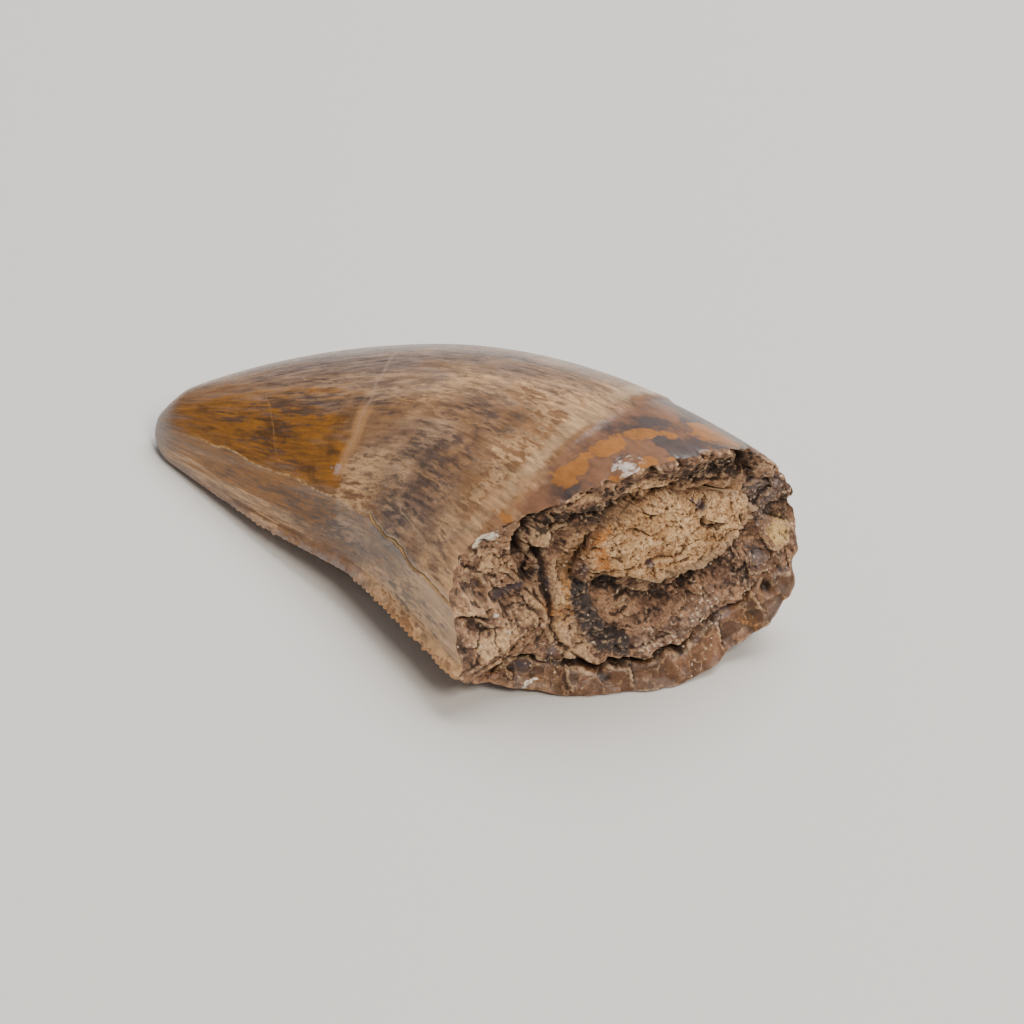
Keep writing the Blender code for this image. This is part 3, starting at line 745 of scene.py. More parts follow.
FLANK_MARKS: dict[str, tuple[Spot | Stroke, ...]] = {  # degrees round, mm from the tip
    "amber": (
        Spot(121, 9.5, 26, 8.6), Spot(111, 5.0, 16, 3.2, 0.9), Spot(129, 15.5, 13, 5.0),
        Spot(155, 9.5, 12, 7.0, 1.1), Spot(154, 15.5, 8, 4.0, 1.0),
    ),
    "dark_streak": (
        Spot(103, 12.7, 6, 4.0, 1.0), Spot(115.5, 11.3, 5, 2.0, 0.75),
        Spot(127, 9.6, 6, 2.8, 0.65), Spot(103, 19.0, 6, 2.4, 0.9), Spot(151, 15.0, 5, 4.0, 0.85),
        Spot(121, 27.0, 8, 4.8), Spot(140, 26.0, 8, 3.6), Spot(100.5, 28.8, 7, 4.2, 0.85),
        Spot(133, 28.6, 7, 3.6, 0.8), Spot(161, 17.5, 9, 5.5, 0.95), Spot(153, 28.0, 7, 4.8, 0.85),
        Spot(118, 33.0, 6, 1.6, 0.5), Spot(80, 15.0, 14, 7.0, 0.5), Spot(74, 25.0, 12, 8.0, 0.5),
        Spot(30, 22, 25, 9, 0.5), Spot(165, 22.0, 8, 8.0, 0.7), Spot(172, 31.0, 7, 6.0, 0.6),
        Spot(156, 12.0, 7, 4.0, 0.55), Spot(143, 31.0, 5, 3.0, 0.5), Spot(126, 21.5, 5, 2.4, 0.55),
        Spot(112, 8.0, 5, 3.0, 0.6), Spot(133, 12.0, 5, 3.0, 0.6), Spot(110, 23.0, 5, 2.4, 0.6),
        Spot(250, 15, 25, 7, 0.8), Spot(300, 27, 22, 6, 0.8), Spot(215, 27, 14, 6, 0.7),
    ),
    "tan_streak": (
        Spot(128, 22.0, 5, 1.7, 0.9), Spot(130.5, 25.3, 4, 1.4, 0.8),
        Spot(132.5, 20.3, 6, 1.8, 1.4), Spot(86, 26.5, 8, 4.5, 0.85), Spot(140, 22.0, 6, 2.4, 0.8),
        Spot(146, 19.5, 5, 2.0, 0.7), Spot(97, 23.4, 5, 2.5, 0.75), Spot(133, 17.4, 4, 1.0, 0.7),
        Spot(82, 32.0, 14, 2.6, 0.85), Spot(112, 33.5, 14, 2.2, 0.75),
        Spot(150, 34.0, 12, 3.0, 0.7), Spot(164, 37.5, 14, 5.5, 2.0), Spot(174, 30.0, 6, 5.0, 1.3),
        Spot(160, 23.0, 5, 3.0, 0.6), Spot(145, 36.0, 10, 2.5, 0.8), Spot(166, 7.0, 12, 6.0, 1.2),
        Spot(138, 32.5, 9, 1.2, 0.7), Spot(270, 33, 40, 4, 0.7), Spot(235, 21, 18, 5, 0.7),
    ),
    # painted sheen: a grey haze where the glossy enamel reflects its bright surroundings, on the
    # distal facet, the tip and the upper flank, with some grey tone
    "grey_tone_and_sheen": (
        Spot(178, 6.0, 9, 6.0, 0.7), Spot(174, 22.0, 10, 8.0, 0.6), Spot(172, 34.0, 8, 3.0, 0.3),
        Spot(64, 17.0, 30, 15.0, 0.9), Spot(150, 1.2, 60, 2.2, 0.9), Spot(143, 27.5, 4, 3.0, 0.7),
    ),
    "iron_stain": (
        Spot(104, 38.1, 4.5, 0.9), Spot(91, 38.2, 6.0, 0.8), Spot(85, 39.4, 2.6, 1.3),
        Spot(99, 41.4, 4.5, 0.8), Spot(87, 41.4, 4.5, 0.8), Spot(80, 38.3, 2.6, 0.5),
        Spot(72, 39.3, 2.2, 0.5), Spot(59, 39.6, 6.0, 1.2), Spot(128, 37.2, 3.0, 1.0),
        Spot(131, 12.0, 2.0, 2.5, 0.35), Spot(20, 40.0, 14, 1.4), Spot(260, 41, 12, 1.2),
    ),
    "root_tan": (
        Spot(128, 37.4, 12, 2.6), Spot(114, 37.0, 6, 1.0, 0.7), Spot(140, 36.6, 8, 2.0, 0.8),
    ),
    "white_mineral": (Spot(93.5, 40.7, 3.4, 0.75),),
    "root_grey": (
        Spot(75, 41.0, 7.5, 1.9, 1.3), Spot(123, 38.6, 4.0, 1.2), Spot(92.5, 39.8, 4.5, 0.5, 1.1),
        Spot(107, 40.3, 5.0, 0.8, 0.9), Spot(64, 38.0, 9.0, 1.6, 0.8),
        Spot(70, 41.3, 10.0, 1.6, 1.0), Spot(108, 41.2, 5.0, 1.0, 0.8),
        Spot(40, 40.0, 14, 2.0, 0.8), Spot(300, 41, 30, 2, 0.8),
    ),
    "blue_glint": (Spot(132, 17.2, 1.6, 0.6), Spot(137.5, 24.0, 1.6, 0.7, 0.6)),
    "pale_edge": (Spot(180, 17.0, 14, 7.0), Spot(180, 2.0, 14, 2.5)),
    "iron_edge": (
        Spot(180, 8.0, 14, 2.6), Spot(180, 33.0, 14, 7.0), Spot(180, 24.0, 14, 3.0, 0.5),
    ),
}

BREAK_MARKS: dict[str, tuple[Spot | Stroke, ...]] = {  # across and up, mm
    "tan_dentine": (
        Stroke(((-8.5, 3.5), (-6.9, 4.25), (-6.0, 4.6)), 0.5, 1.2),
        Stroke(((-8.2, 2.2), (-6.5, 3.6)), 0.28, 0.9), Spot(-3.6, 9.6, 0.5, 0.9),
        Spot(-2.9, 10.2, 0.4, 0.5), Spot(-3.0, 3.6, 0.8, 1.1, 1.2), Spot(-2.5, 2.6, 0.9, 1.0, 1.2),
        Spot(-3.0, 5.9, 0.5, 0.9, 1.1), Spot(-8.2, 5.4, 0.9, 0.25, 0.9),
        Spot(-4.7, 5.7, 0.4, 0.6, 0.9), Spot(-5.4, 5.2, 0.6, 0.4, 0.7),
        Spot(-7.1, 6.3, 0.9, 0.8, 0.8), Spot(-6.3, 7.5, 1.2, 0.5, 0.8, 10),
        Spot(-1.9, 12.3, 0.8, 0.35, 1.1), Spot(1.8, 12.4, 1.5, 0.5, 1.2),
        Spot(10.0, 11.4, 1.2, 1.0, 0.8), Spot(8.9, 3.7, 0.9, 0.4, 0.8),
        Spot(0.3, 4.6, 0.7, 0.3, 0.7, 30), Spot(1.4, 5.3, 1.2, 0.3, 0.6),
        Spot(-4.8, 0.5, 0.9, 0.25, 0.9), Spot(-6.0, 8.2, 1.3, 0.5, 0.6),
        Spot(0.2, 0.5, 1.1, 0.3, 0.6), Spot(2.2, 1.3, 0.3, 0.5, 0.7), Stroke(ROD, 0.22, 0.55),
        Spot(7.6, 10.9, 0.8, 0.5, 0.6), Spot(-5.4, 7.6, 1.2, 0.4, 0.6, 30),
    ),
    # brown dentine, with painted shadow under the sandstone's ledge and beside the splinters at
    # the left
    "umber_and_shadow": (
        Spot(-9.1, 3.7, 0.4, 1.0), Spot(-7.9, 4.7, 0.7, 0.4, 0.9),
        Spot(-8.4, 2.7, 0.9, 0.3, 0.7, 30), Spot(9.9, 8.4, 1.6, 2.2, 0.9),
        Spot(7.6, 5.6, 1.3, 0.8, 0.8), Spot(11.3, 7.6, 0.7, 2.4, 0.8),
        Spot(3.6, 4.4, 2.6, 0.7, 0.7, 8), Spot(-4.9, 7.9, 1.0, 1.0, 0.6),
        Spot(2.0, 0.9, 1.2, 0.5, 0.7),
    ),
    "iron_break": (
        Stroke(((-3.0, 5.6), (-2.6, 6.9), (-1.8, 8.4), (-0.9, 9.5)), 0.32, 0.85),
        Spot(-3.6, 5.2, 0.6, 0.4, 0.9), Spot(-2.9, 4.6, 0.7, 0.5, 0.7),
        Spot(-4.4, 5.45, 0.3, 0.25, 0.9), Spot(7.8, 2.15, 0.5, 0.5, 0.6),
        Spot(10.2, 3.0, 0.6, 0.4, 0.4),
    ),
    # painted shade: dark laid along the grooves, cracks, shelf and hollows sunk into the break,
    # over some dark core dentine
    "dark_core_and_crevice_shade": (
        Stroke(CREVICE, 0.5, 1.0), Stroke(GROOVE, 0.22, 0.8), Stroke(SHELF, 0.4, 0.75),
        Stroke(CLEFT, 0.3, 0.9), Stroke(CHIP_CRACK, 0.2, 1.0), Stroke(CHUNK_CRACK, 0.35, 0.9),
        Spot(-0.3, 5.9, 0.7, 0.6), Spot(-0.9, 11.2, 2.0, 0.6, 1.3, 15),
        Spot(6.3, 12.1, 2.2, 0.8, 1.2, -10),
        Stroke(((-4.0, 9.7), (-3.3, 10.8), (-1.8, 11.3), (0.4, 11.3)), 0.35, 1.3),
        Spot(-0.4, 12.8, 0.9, 0.2, 1.0, 20), Spot(6.0, 12.4, 2.6, 0.7, 1.2, -10),
        Spot(5.4, 13.1, 2.4, 0.5, 0.9, -8), Spot(9.6, 8.4, 1.1, 1.8, 0.6),
        Spot(-1.7, 0.9, 0.6, 0.35, 0.8), Spot(7.5, 4.6, 1.2, 0.5, 0.7),
        Spot(11.4, 8.8, 0.6, 1.2, 0.6), Spot(2.7, 4.7, 0.4, 0.3, 0.9),
        Spot(4.3, 4.9, 0.4, 0.3, 0.9), Spot(5.4, 5.5, 0.9, 0.3, 0.9, 10),
        Spot(8.2, 5.0, 0.5, 0.35, 0.9), Spot(1.7, 3.95, 0.9, 0.28, 0.7, 15),
        Spot(-0.4, 3.3, 0.9, 0.28, 0.7, 15), Spot(9.4, 3.7, 0.2, 0.3), Spot(-3.9, 8.2, 0.3, 0.35),
        Spot(-4.3, 7.0, 0.3, 0.35), Spot(-7.6, 7.8, 0.2, 0.25, 0.9),
        Stroke(((-9.0, 5.05), (-7.9, 5.15), (-7.1, 5.3)), 0.14, 0.9),
        Spot(-8.9, 3.4, 0.3, 0.5, 0.5),
    ),
    "grey_sugar": (
        Stroke(((-1.9, 7.6), (-2.0, 6.2), (-1.8, 4.6), (-1.1, 3.0), (0.3, 2.6)), 0.7, 1.5),
        Spot(4.2, 3.3, 2.6, 0.6, 0.6, 12), Spot(9.8, 9.3, 1.5, 1.2, 0.7),
        Spot(10.2, 4.4, 0.8, 0.9, 0.7), Spot(-0.6, 11.2, 1.6, 0.5, 0.7, 10),
        Spot(9.2, 5.4, 0.8, 0.7, 0.8),
    ),
    # painted shade on the cavity wall above the sandstone and in the crevice over it
    "cavity_wall_shade": (Spot(5.9, 12.0, 2.6, 0.8, 1.1, -8), Spot(-1.2, 10.6, 1.6, 0.4, 0.8, 35)),
    "grey_crystal": (
        Spot(9.6, 9.4, 1.2, 1.2, 1.3), Spot(9.9, 7.7, 0.6, 0.8, 1.0),
        Spot(9.4, 5.6, 0.8, 0.7, 0.7),
    ),
    "slate": (
        Stroke(((-6.5, 5.95), (-5.6, 6.2), (-4.6, 6.6)), 0.3, 0.9),
        Spot(-5.5, 1.7, 0.7, 0.35, 0.8), Spot(-3.7, 6.9, 0.2, 0.7),
    ),
    "sugar": (
        Stroke(((0.1, 2.2), (2.6, 2.8), (5.1, 3.75), (6.3, 4.3)), 0.7, 1.0),
        Spot(1.6, 5.4, 1.4, 0.3, 0.7, 5), Spot(-2.4, 2.9, 1.0, 1.2, 0.6),
        Spot(8.8, 4.2, 1.2, 0.7, 0.6), Spot(9.8, 9.0, 1.4, 1.6, 0.5),
    ),
    "glassy_chip": (
        Spot(-7.0, 1.7, 1.1, 0.6), Spot(-5.3, 1.7, 0.9, 0.6), Spot(-3.9, 2.2, 0.9, 0.7),
        Spot(-2.4, 0.9, 1.3, 0.6), Spot(-0.6, 0.9, 1.4, 0.6), Spot(1.6, 0.9, 1.2, 0.6),
        Spot(3.5, 1.2, 1.1, 0.7), Spot(5.4, 1.8, 1.3, 0.8), Spot(7.8, 2.6, 1.3, 0.9),
        Spot(9.8, 4.4, 1.0, 1.2, 0.8), Spot(-7.1, 6.4, 0.7, 0.7, 0.8),
    ),
    "lavender": (
        Spot(6.3, 2.9, 0.9, 0.5), Spot(-5.4, 1.7, 0.5, 0.4, 0.6), Spot(-3.9, 2.4, 0.7, 0.5, 0.6),
        Spot(9.2, 5.4, 0.5, 0.4, 0.6), Spot(2.8, 0.6, 0.5, 0.3, 0.6),
    ),
    "yellow_grain": (Spot(10.6, 6.5, 0.7, 0.75), Spot(-3.3, 5.65, 0.35, 0.22, 0.8)),
    "white_enamel": (
        Spot(-6.35, 9.0, 0.65, 0.2, 1.3, 47), Spot(-6.1, 9.3, 0.35, 0.26, 1.0, 44),
        Stroke(((-5.9, 0.45), (-5.3, 0.75), (-4.8, 1.0)), 0.1, 0.75),
        Spot(-6.8, 5.25, 0.22, 0.09, 0.8, 5), Spot(-6.65, 4.6, 0.12, 0.1, 0.6),
    ),
}

SANDSTONE_MARKS: dict[str, tuple[Spot | Stroke, ...]] = {  # across and up, mm
    "iron_sand": (
        Stroke(((-2.3, 8.2), (-1.5, 9.2), (-0.5, 10.2)), 0.4, 1.3),
        Spot(-0.9, 8.1, 0.35, 0.9, 1.2, 10),
    ),
    # painted shade in the sandstone's cracks and dips; the same marks are sunk into its surface
    "sand_crack_shade": (
        Spot(-0.2, 10.9, 1.0, 0.3, 0.8, 30), Spot(-1.9, 7.5, 0.6, 0.6, 0.5),
        Spot(5.9, 11.8, 2.4, 0.6, 1.3, -6), Spot(8.2, 8.2, 0.6, 0.9, 0.8),
        Stroke(((4.2, 8.6), (5.2, 8.8), (6.0, 8.6), (7.2, 9.2)), 0.16, 0.9),
        Stroke(((2.2, 6.9), (2.8, 6.8), (3.4, 7.1), (4.4, 7.0)), 0.12, 0.7),
    ),
    "grey_strata": (
        Stroke(((0.8, 6.2), (2.6, 6.2), (4.4, 6.3), (6.2, 6.9), (7.6, 7.8)), 0.45, 0.9),
    ),
    "pebble": (
        Spot(1.7, 7.45, 0.3, 0.24), Spot(-2.0, 7.5, 0.5, 0.7, 0.9), Spot(4.9, 10.5, 0.28, 0.36),
        Spot(4.4, 10.9, 0.2, 0.2),
    ),
}


@dataclass
class Break:
    """The broken end: splintered dentine on the distal side, a sugary core round the pulp
    cavity, glassy chips along the lower rim."""

    focus: tuple[float, float] = (-3.2, 6.2)  # where the splinters fan out from

    def zones(self, y: Array, z: Array) -> tuple[Array, Array]:
        """How far each point belongs to the splintered wedge, and to the lower chips.

        Args:
            y: Across, mm.
            z: Up, mm.

        Returns:
            The wedge's share, and the chips'.
        """
        levels = [0.0, 2.4, 3.6, 5.2, 6.7, 8.4, 10.0]
        wall = np.interp(z, levels, [-6.3, -5.7, -5.1, -4.4, -3.9, -3.6, -3.1])
        wedge = ease(0.0, 0.35, wall - y)
        path = np.asarray(CHIP_CRACK)
        low = ease(0.0, 0.25, np.interp(y, path[:, 0], path[:, 1]) - z)
        return wedge, low * (1 - wedge)

    def relief(self, y: Array, z: Array, inward: Array) -> Array:
        """How far the break stands out of its mean surface.

        Args:
            y: Across, mm.
            z: Up, mm.
            inward: 0 at the rim to 1 at the cavity's mouth.

        Returns:
            Heights in mm.
        """
        wedge, low = self.zones(y, z)
        core = 1 - np.maximum(wedge, low)
        warped_y = y + 0.22 * BROAD.at(y / 0.9, z / 0.9, 5.0)
        warped_z = z + 0.22 * BROAD.at(y / 0.9, z / 0.9, 9.0)
        height = summed(HEIGHTS, warped_y, warped_z)
        height += wedge * self.splinters(y, z) + low * self.chips(y, z)
        height += core * self.core(y, z)
        for plate in PLATES:
            height = plate.cut(height, warped_y, warped_z)
        grain, _ = FINE.facets(y + 5, z, 0.5, 1.0)
        bead, _ = BROAD.facets(y + 2, z + 8, 0.26, 1.1)
        rough = 0.06 * grain + 0.05 * bead + 0.05 * FINE.layers(y, z, 0.4, 2)
        height += rough * (1 - 0.75 * low)
        return height * ease(0.0, 0.11, inward)

    def splinters(self, y: Array, z: Array) -> Array:
        """Heights of the distal wedge: splinters that fan out below, broken blocks above.

        Args:
            y: Across, mm.
            z: Up, mm.

        Returns:
            The heights, mm.
        """
        bent = 0.5 * BROAD.at(y / 1.6, z / 1.6, 13.0)
        away_y, away_z = y - self.focus[0], z - self.focus[1]
        fan = np.arctan2(away_z, -away_y) * 5.0 + bent
        reach = np.hypot(away_y, away_z) + 0.6 * BROAD.at(fan / 0.6, fan * 0, 17.0)
        slab, _ = BROAD.facets(fan / 0.85, reach / 2.7, 1.0, 0.8)
        thin, _ = FINE.facets(fan / 0.36, reach / 1.5, 1.0, 0.9)
        fanned = 0.25 * slab + 0.14 * thin
        block, _ = BROAD.facets(y + bent, z, 1.15, 1.2)
        bit, _ = FINE.facets(y, z + bent, 0.55, 1.2)
        broken = 0.30 * block + 0.20 * bit
        low = ease(5.6, 4.4, z + bent)
        return low * fanned + (1 - low) * broken

    def chips(self, y: Array, z: Array) -> Array:
        """Heights of the flake scars along the lower rim, each with a step to the next.

        Args:
            y: Across, mm.
            z: Up, mm.

        Returns:
            The heights, mm.
        """
        nearest, height = np.full(y.shape, 9.0), np.zeros(y.shape)
        across = y + 0.3 * BROAD.at(y / 1.1, z / 1.1, 21.0)
        for chip in CHIPS:
            lean = (across - chip.across) / chip.radius
            reach = np.hypot(lean, 0.7 * (z - chip.up) / chip.radius)
            scar = chip.level + chip.lean * lean + 0.19 * reach**2 - 0.18
            scar += 0.04 * np.sin(7.0 * reach + 2.0 * lean)  # ripples of the flake
            height = np.where(reach < nearest, scar, height)
            nearest = np.minimum(nearest, reach)
        return height

    def core(self, y: Array, z: Array) -> Array:
        """Heights of the sugary core, in layers that run along the pulp cavity.

        Args:
            y: Across, mm.
            z: Up, mm.

        Returns:
            The heights, mm.
        """
        p, q = to_cavity(y, z)
        bend = BROAD.at(p / 1.7, q / 1.7, 3.0)
        layer, _ = BROAD.facets(p / 3.0, (q + 0.35 * bend) / 0.75, 1.0, 0.8)
        lump = BROAD.layers(y, z, 0.9, 2)
        crystal, _ = FINE.facets(y, z, 0.3, 0.9)
        chunk, _ = FINE.facets(y, z + 3, 1.4, 1.1)
        right = ease(7.4, 9.0, y) + ease(9.8, 10.8, z) * ease(7.4, 6.4, y)
        height = (1 - 0.6 * right) * 0.17 * layer + 0.15 * lump + 0.06 * crystal
        return height + right.clip(0, 1) * 0.32 * chunk


def blurred(values: Array, reach: int) -> Array:
    """Values of a ring of columns, averaged over so many cells to each side.

    Args:
        values: Values by row and column.
        reach: How many cells.

    Returns:
        The averaged values.
    """
    wide = np.concatenate([values[:, -reach - 1 : -1], values, values[:, 1 : reach + 1]], 1)
    wide = np.pad(wide, ((reach, reach), (0, 0)), mode="edge")
    size = 2 * reach + 1
    run = np.cumsum(np.pad(wide, ((1, 0), (0, 0))), 0)
    wide = (run[size:] - run[:-size]) / size
    run = np.cumsum(np.pad(wide, ((0, 0), (1, 0))), 1)
    return (run[:, size:] - run[:, :-size]) / size


@dataclass
class Tooth:
    """The tooth: one closed mesh of flank, broken end and cavity."""

    form: CrownForm
    carina: Carina
    skin: Skin
    face: Break
    upper: int = 40
    facet: int = 9
    lower: int = 28
    crack_offsets: tuple[float, ...] = (
        -0.62, -0.36, -0.2, -0.11, -0.05, 0.0, 0.05, 0.11, 0.2, 0.36, 0.62,
    )
    edge_offsets: tuple[float, ...] = (
        -0.75, -0.48, -0.3, -0.17, -0.07, 0.0, 0.07, 0.17, 0.3, 0.48, 0.75,
    )
    rows_per_denticle: int = 5
    band: float = 0.045  # share of the length that the finer mesh takes up behind the rim
    fine_columns: int = 520
    band_rows: int = 12
    face_rows: int = 96
    cavity_rows: int = 20

    def shoulder_step(self, s: Array) -> Array:
        """Degrees to a millimetre on the upper side of the shoulder."""
        return 1 / self.form.girth(s)

    def facet_step(self, s: Array) -> Array:
        """Degrees to a millimetre across the facet.

        Args:
            s: Shares of the length.

        Returns:
            The degrees.
        """
        edge = self.form.shoulder_turn(s)
        top, foot = self.form.oval(s, edge), self.form.oval(s, np.full_like(s, 180.0))
        return (180 - edge) / np.linalg.norm(top - foot, axis=-1).clip(0.2)

    def columns(self, s: Array) -> Array:
        """Degrees round of each column of the coarse mesh, one row of them per share.

        Args:
            s: Shares of the length.

        Returns:
            The degrees.
        """
        edge, up, down = self.form.shoulder_turn(s), self.shoulder_step(s), self.facet_step(s)
        taper = (1 - s).clip(1e-4) ** self.form.taper
        reach = np.minimum(1.0, (180 - edge) / down / 2.2)  # keeps the offsets on a narrow facet
        stray = self.skin.wander(s) * ease(1.0, 0.9, s)
        first = edge + up * (self.crack_offsets[0] + stray) * reach
        rows = [first * k / self.upper for k in range(self.upper)]
        for gap in self.crack_offsets:
            away = (gap + stray) * reach
            rows.append(edge + away * np.where(away < 0, up, down))
        last, edge_first = rows[-1], 180 + down * self.edge_offsets[0] * reach
        rows += [last + (edge_first - last) * (k + 1) / (self.facet + 1)
                 for k in range(self.facet)]
        for gap in self.edge_offsets:
            sine = (max(gap, 0.0) / (self.form.flank_down * taper)) ** (1 / 1.44)
            under = np.degrees(np.arcsin((sine * reach).clip(0, 0.9)))
            rows.append(180 + down * min(gap, 0.0) * reach + under)
        last = rows[-1]
        rows += [last + (360 - last) * (k + 1) / (self.lower + 1) for k in range(self.lower)]
        return np.stack(rows + [edge * 0 + 360.0], -1)

    def gaps(self, s: Array, turn: Array, place: Array) -> tuple[Array, Array]:
        """Distances from the shoulder's crack and from the carina's line, mm.

        Args:
            s: Shares of the length.
            turn: Degrees round.
            place: The places, mm from the base.

        Returns:
            Across from the crack, below 0 above it, and from the carina.
        """
        edge = self.form.shoulder_turn(s)
        off = turn - edge
        crack = np.where(off < 0, off / self.shoulder_step(s), off / self.facet_step(s))
        carina = np.linalg.norm(place - self.form.point(s, np.full_like(turn, 180.0)), axis=-1)
        return crack - self.skin.wander(s), carina

    def flank(self, s: Array, turn: Array) -> Array:
        """Places on the finished flank, mm from the base.

        Args:
            s: Shares of the length.
            turn: Degrees round.

        Returns:
            The places.
        """
        s, turn = np.broadcast_arrays(s, turn)
        smooth = self.form.point(s, turn)
        crack, gap = self.gaps(s, turn, smooth)
        relief = self.skin.relief(s, turn, crack)
        clear = ease(0.35, 0.9, gap)
        place = smooth + self.form.outward(s, turn) * (relief * clear)[..., None]
        place += self.carina.direction(s) * self.carina.stand(s, gap)[..., None]
        place[..., 2] = place[..., 2].clip(0)
        return place

    def rim_share(self, turn: Array) -> Array:
        """Share of the length at the ragged rim.

        Args:
            turn: Degrees round.

        Returns:
            The shares.
        """
        wrapped = np.asarray(turn) % 360
        broad = np.array([noise.noise(Vector((t * 0.11, 3.7, 0.0))) for t in wrapped.ravel()])
        start = self.form.lost(wrapped)
        join = ease(0, 12, wrapped) * ease(360, 348, wrapped)
        broad_nick = FINE.at(wrapped / 3.1, wrapped * 0 + 1)
        nick = broad_nick + 0.6 * FINE.at(wrapped / 1.3, wrapped * 0 + 3)
        bite = ease(0.45, 1.0, BROAD.at(wrapped / 4.2, wrapped * 0 + 6))
        top = ease(196.0, 182.0, wrapped)  # the lower rim broke more evenly
        fine = 0.0012 * nick * (0.4 + 0.6 * top) + 0.006 * bite * (0.25 + 0.75 * top)
        return start + (broad.reshape(wrapped.shape) * 0.007 + fine) * join

    def coarse(self) -> tuple[Array, Array, Array]:
        """The coarse mesh, rows from the broken end to the tip.

        Returns:
            Shares, degrees and places.
        """
        start = self.form.broken_end[180] + self.band
        first = self.carina.count_at(np.array(start))
        steps = math.ceil((self.carina.denticles - first) * self.rows_per_denticle)
        count = first + np.arange(steps) / self.rows_per_denticle
        s = self.carina.share_at(count)
        rest = 1 - (1 - s[-1]) * (1 - np.linspace(0, 1, 26)[1:]) ** 1.7
        share = (np.concatenate([s, rest]) - start) / (1 - start)
        turn = self.columns(np.interp(share, [0, 1], [start, 1]))
        # The columns lean with the rim, so the share and degrees settle together.
        for _ in range(3):
            first_share = self.form.lost(turn) + self.band
            s = first_share + (1 - first_share) * share[:, None]
            turn = np.stack(
                [self.columns(s[:, j])[:, j] for j in range(turn.shape[1])], -1
            )
        return s, turn, self.flank(s, turn)

    def fine(self) -> dict[str, Array]:
        """The finer mesh: the band behind the rim, the broken end and the cavity.

        Returns:
            Places, shares, degrees and how far each point stands out.
        """
        dense = np.linspace(0, 360, 4001)
        rim = self.form.point(self.form.lost(dense), dense)
        run = np.concatenate([[0], np.cumsum(np.linalg.norm(np.diff(rim, axis=0), axis=1))])
        turn = np.interp(np.linspace(0, run[-1], self.fine_columns + 1), run, dense)
        last = self.rim_share(turn)
        first = self.form.lost(turn) + self.band - 0.004
        share = np.linspace(0, 1, self.band_rows + 1)[:, None]
        s = first + (last - first) * share
        turns = np.broadcast_to(turn, s.shape)
        band = self.flank(s, turns)
        to_rim = (self.form.from_tip(last) - self.form.from_tip(s)).clip(0)
        flaw = ease(0.0, 0.9, BROAD.at(turns / 3.3, s * 0 + 7.5)) * np.exp(-to_rim / 0.4)
        flaw = flaw * (0.3 + 0.7 * ease(196.0, 182.0, turns))
        band -= self.form.outward(s, turns) * (0.17 * flaw)[..., None]
        band[..., 2] = band[..., 2].clip(0)

        rim = band[-1] + np.array([*CENTRE_SHIFT, 0.0])
        p, q = to_cavity(rim[:, 1], rim[:, 2])
        angle = np.arctan2(q / CAVITY_HALF[1], p / CAVITY_HALF[0])
        mouth_y, mouth_z = from_cavity(
            CAVITY_HALF[0] * np.cos(angle), CAVITY_HALF[1] * np.sin(angle)
        )
        mouth_x = MOUTH + 0.25 * (rim[:, 0] - RIM_REACH)
        mouth = np.stack([mouth_x, mouth_y, mouth_z], -1)
        inward = (np.arange(1, self.face_rows + 1) / self.face_rows)[:, None]
        even = self.form.point(self.form.lost(turn), turn)
        even = even + np.array([*CENTRE_SHIFT, 0.0])
        from_rim = inward * np.linalg.norm(mouth - even, axis=-1)
        face = even + (mouth - even) * inward[..., None]
        face += (rim - even) * np.exp(-from_rim / 0.45)[..., None]
        face[..., 0] += self.face.relief(face[..., 1], face[..., 2], inward)

        down = (np.arange(1, self.cavity_rows + 1) / self.cavity_rows)[:, None]
        y, z = from_cavity(
            CAVITY_HALF[0] * (1 - down) * np.cos(angle),
            CAVITY_HALF[1] * (1 - down) * np.sin(angle),
        )
        filled = ease(0.05, 0.3, SandstoneForm.inside(y, z))
        depth = 0.2 * ease(0.0, 0.16, down) + 2.4 * filled
        edge = face[-1, :, 0]
        x = edge + (MOUTH - edge) * ease(0.0, 1.0, down) - depth
        lip = self.face.relief(y, z, y * 0 + 1) * (1 - filled)
        drop = lip - self.face.relief(mouth_y, mouth_z, mouth_y * 0 + 1)
        x += drop * (1 - ease(0.8, 1.0, down))
        cavity = np.stack([x, y, z], -1)
        place = np.concatenate([band + np.array([*CENTRE_SHIFT, 0.0]), face, cavity])
        past_rim = np.broadcast_to(last, (len(inward) + len(down), len(turn)))
        across_rows = place[..., 0]
        crest = across_rows - blurred(across_rows, 2)
        hollow = blurred(across_rows, 3) - blurred(across_rows, 12)
        crest[: self.band_rows + 1] = hollow[: self.band_rows + 1] = 0
        return {
            "place": place,
            "s": np.concatenate([s, past_rim]),
            "turn": np.broadcast_to(turn, place.shape[:2]),
            "crest": crest,
            "hollow": hollow,
        }


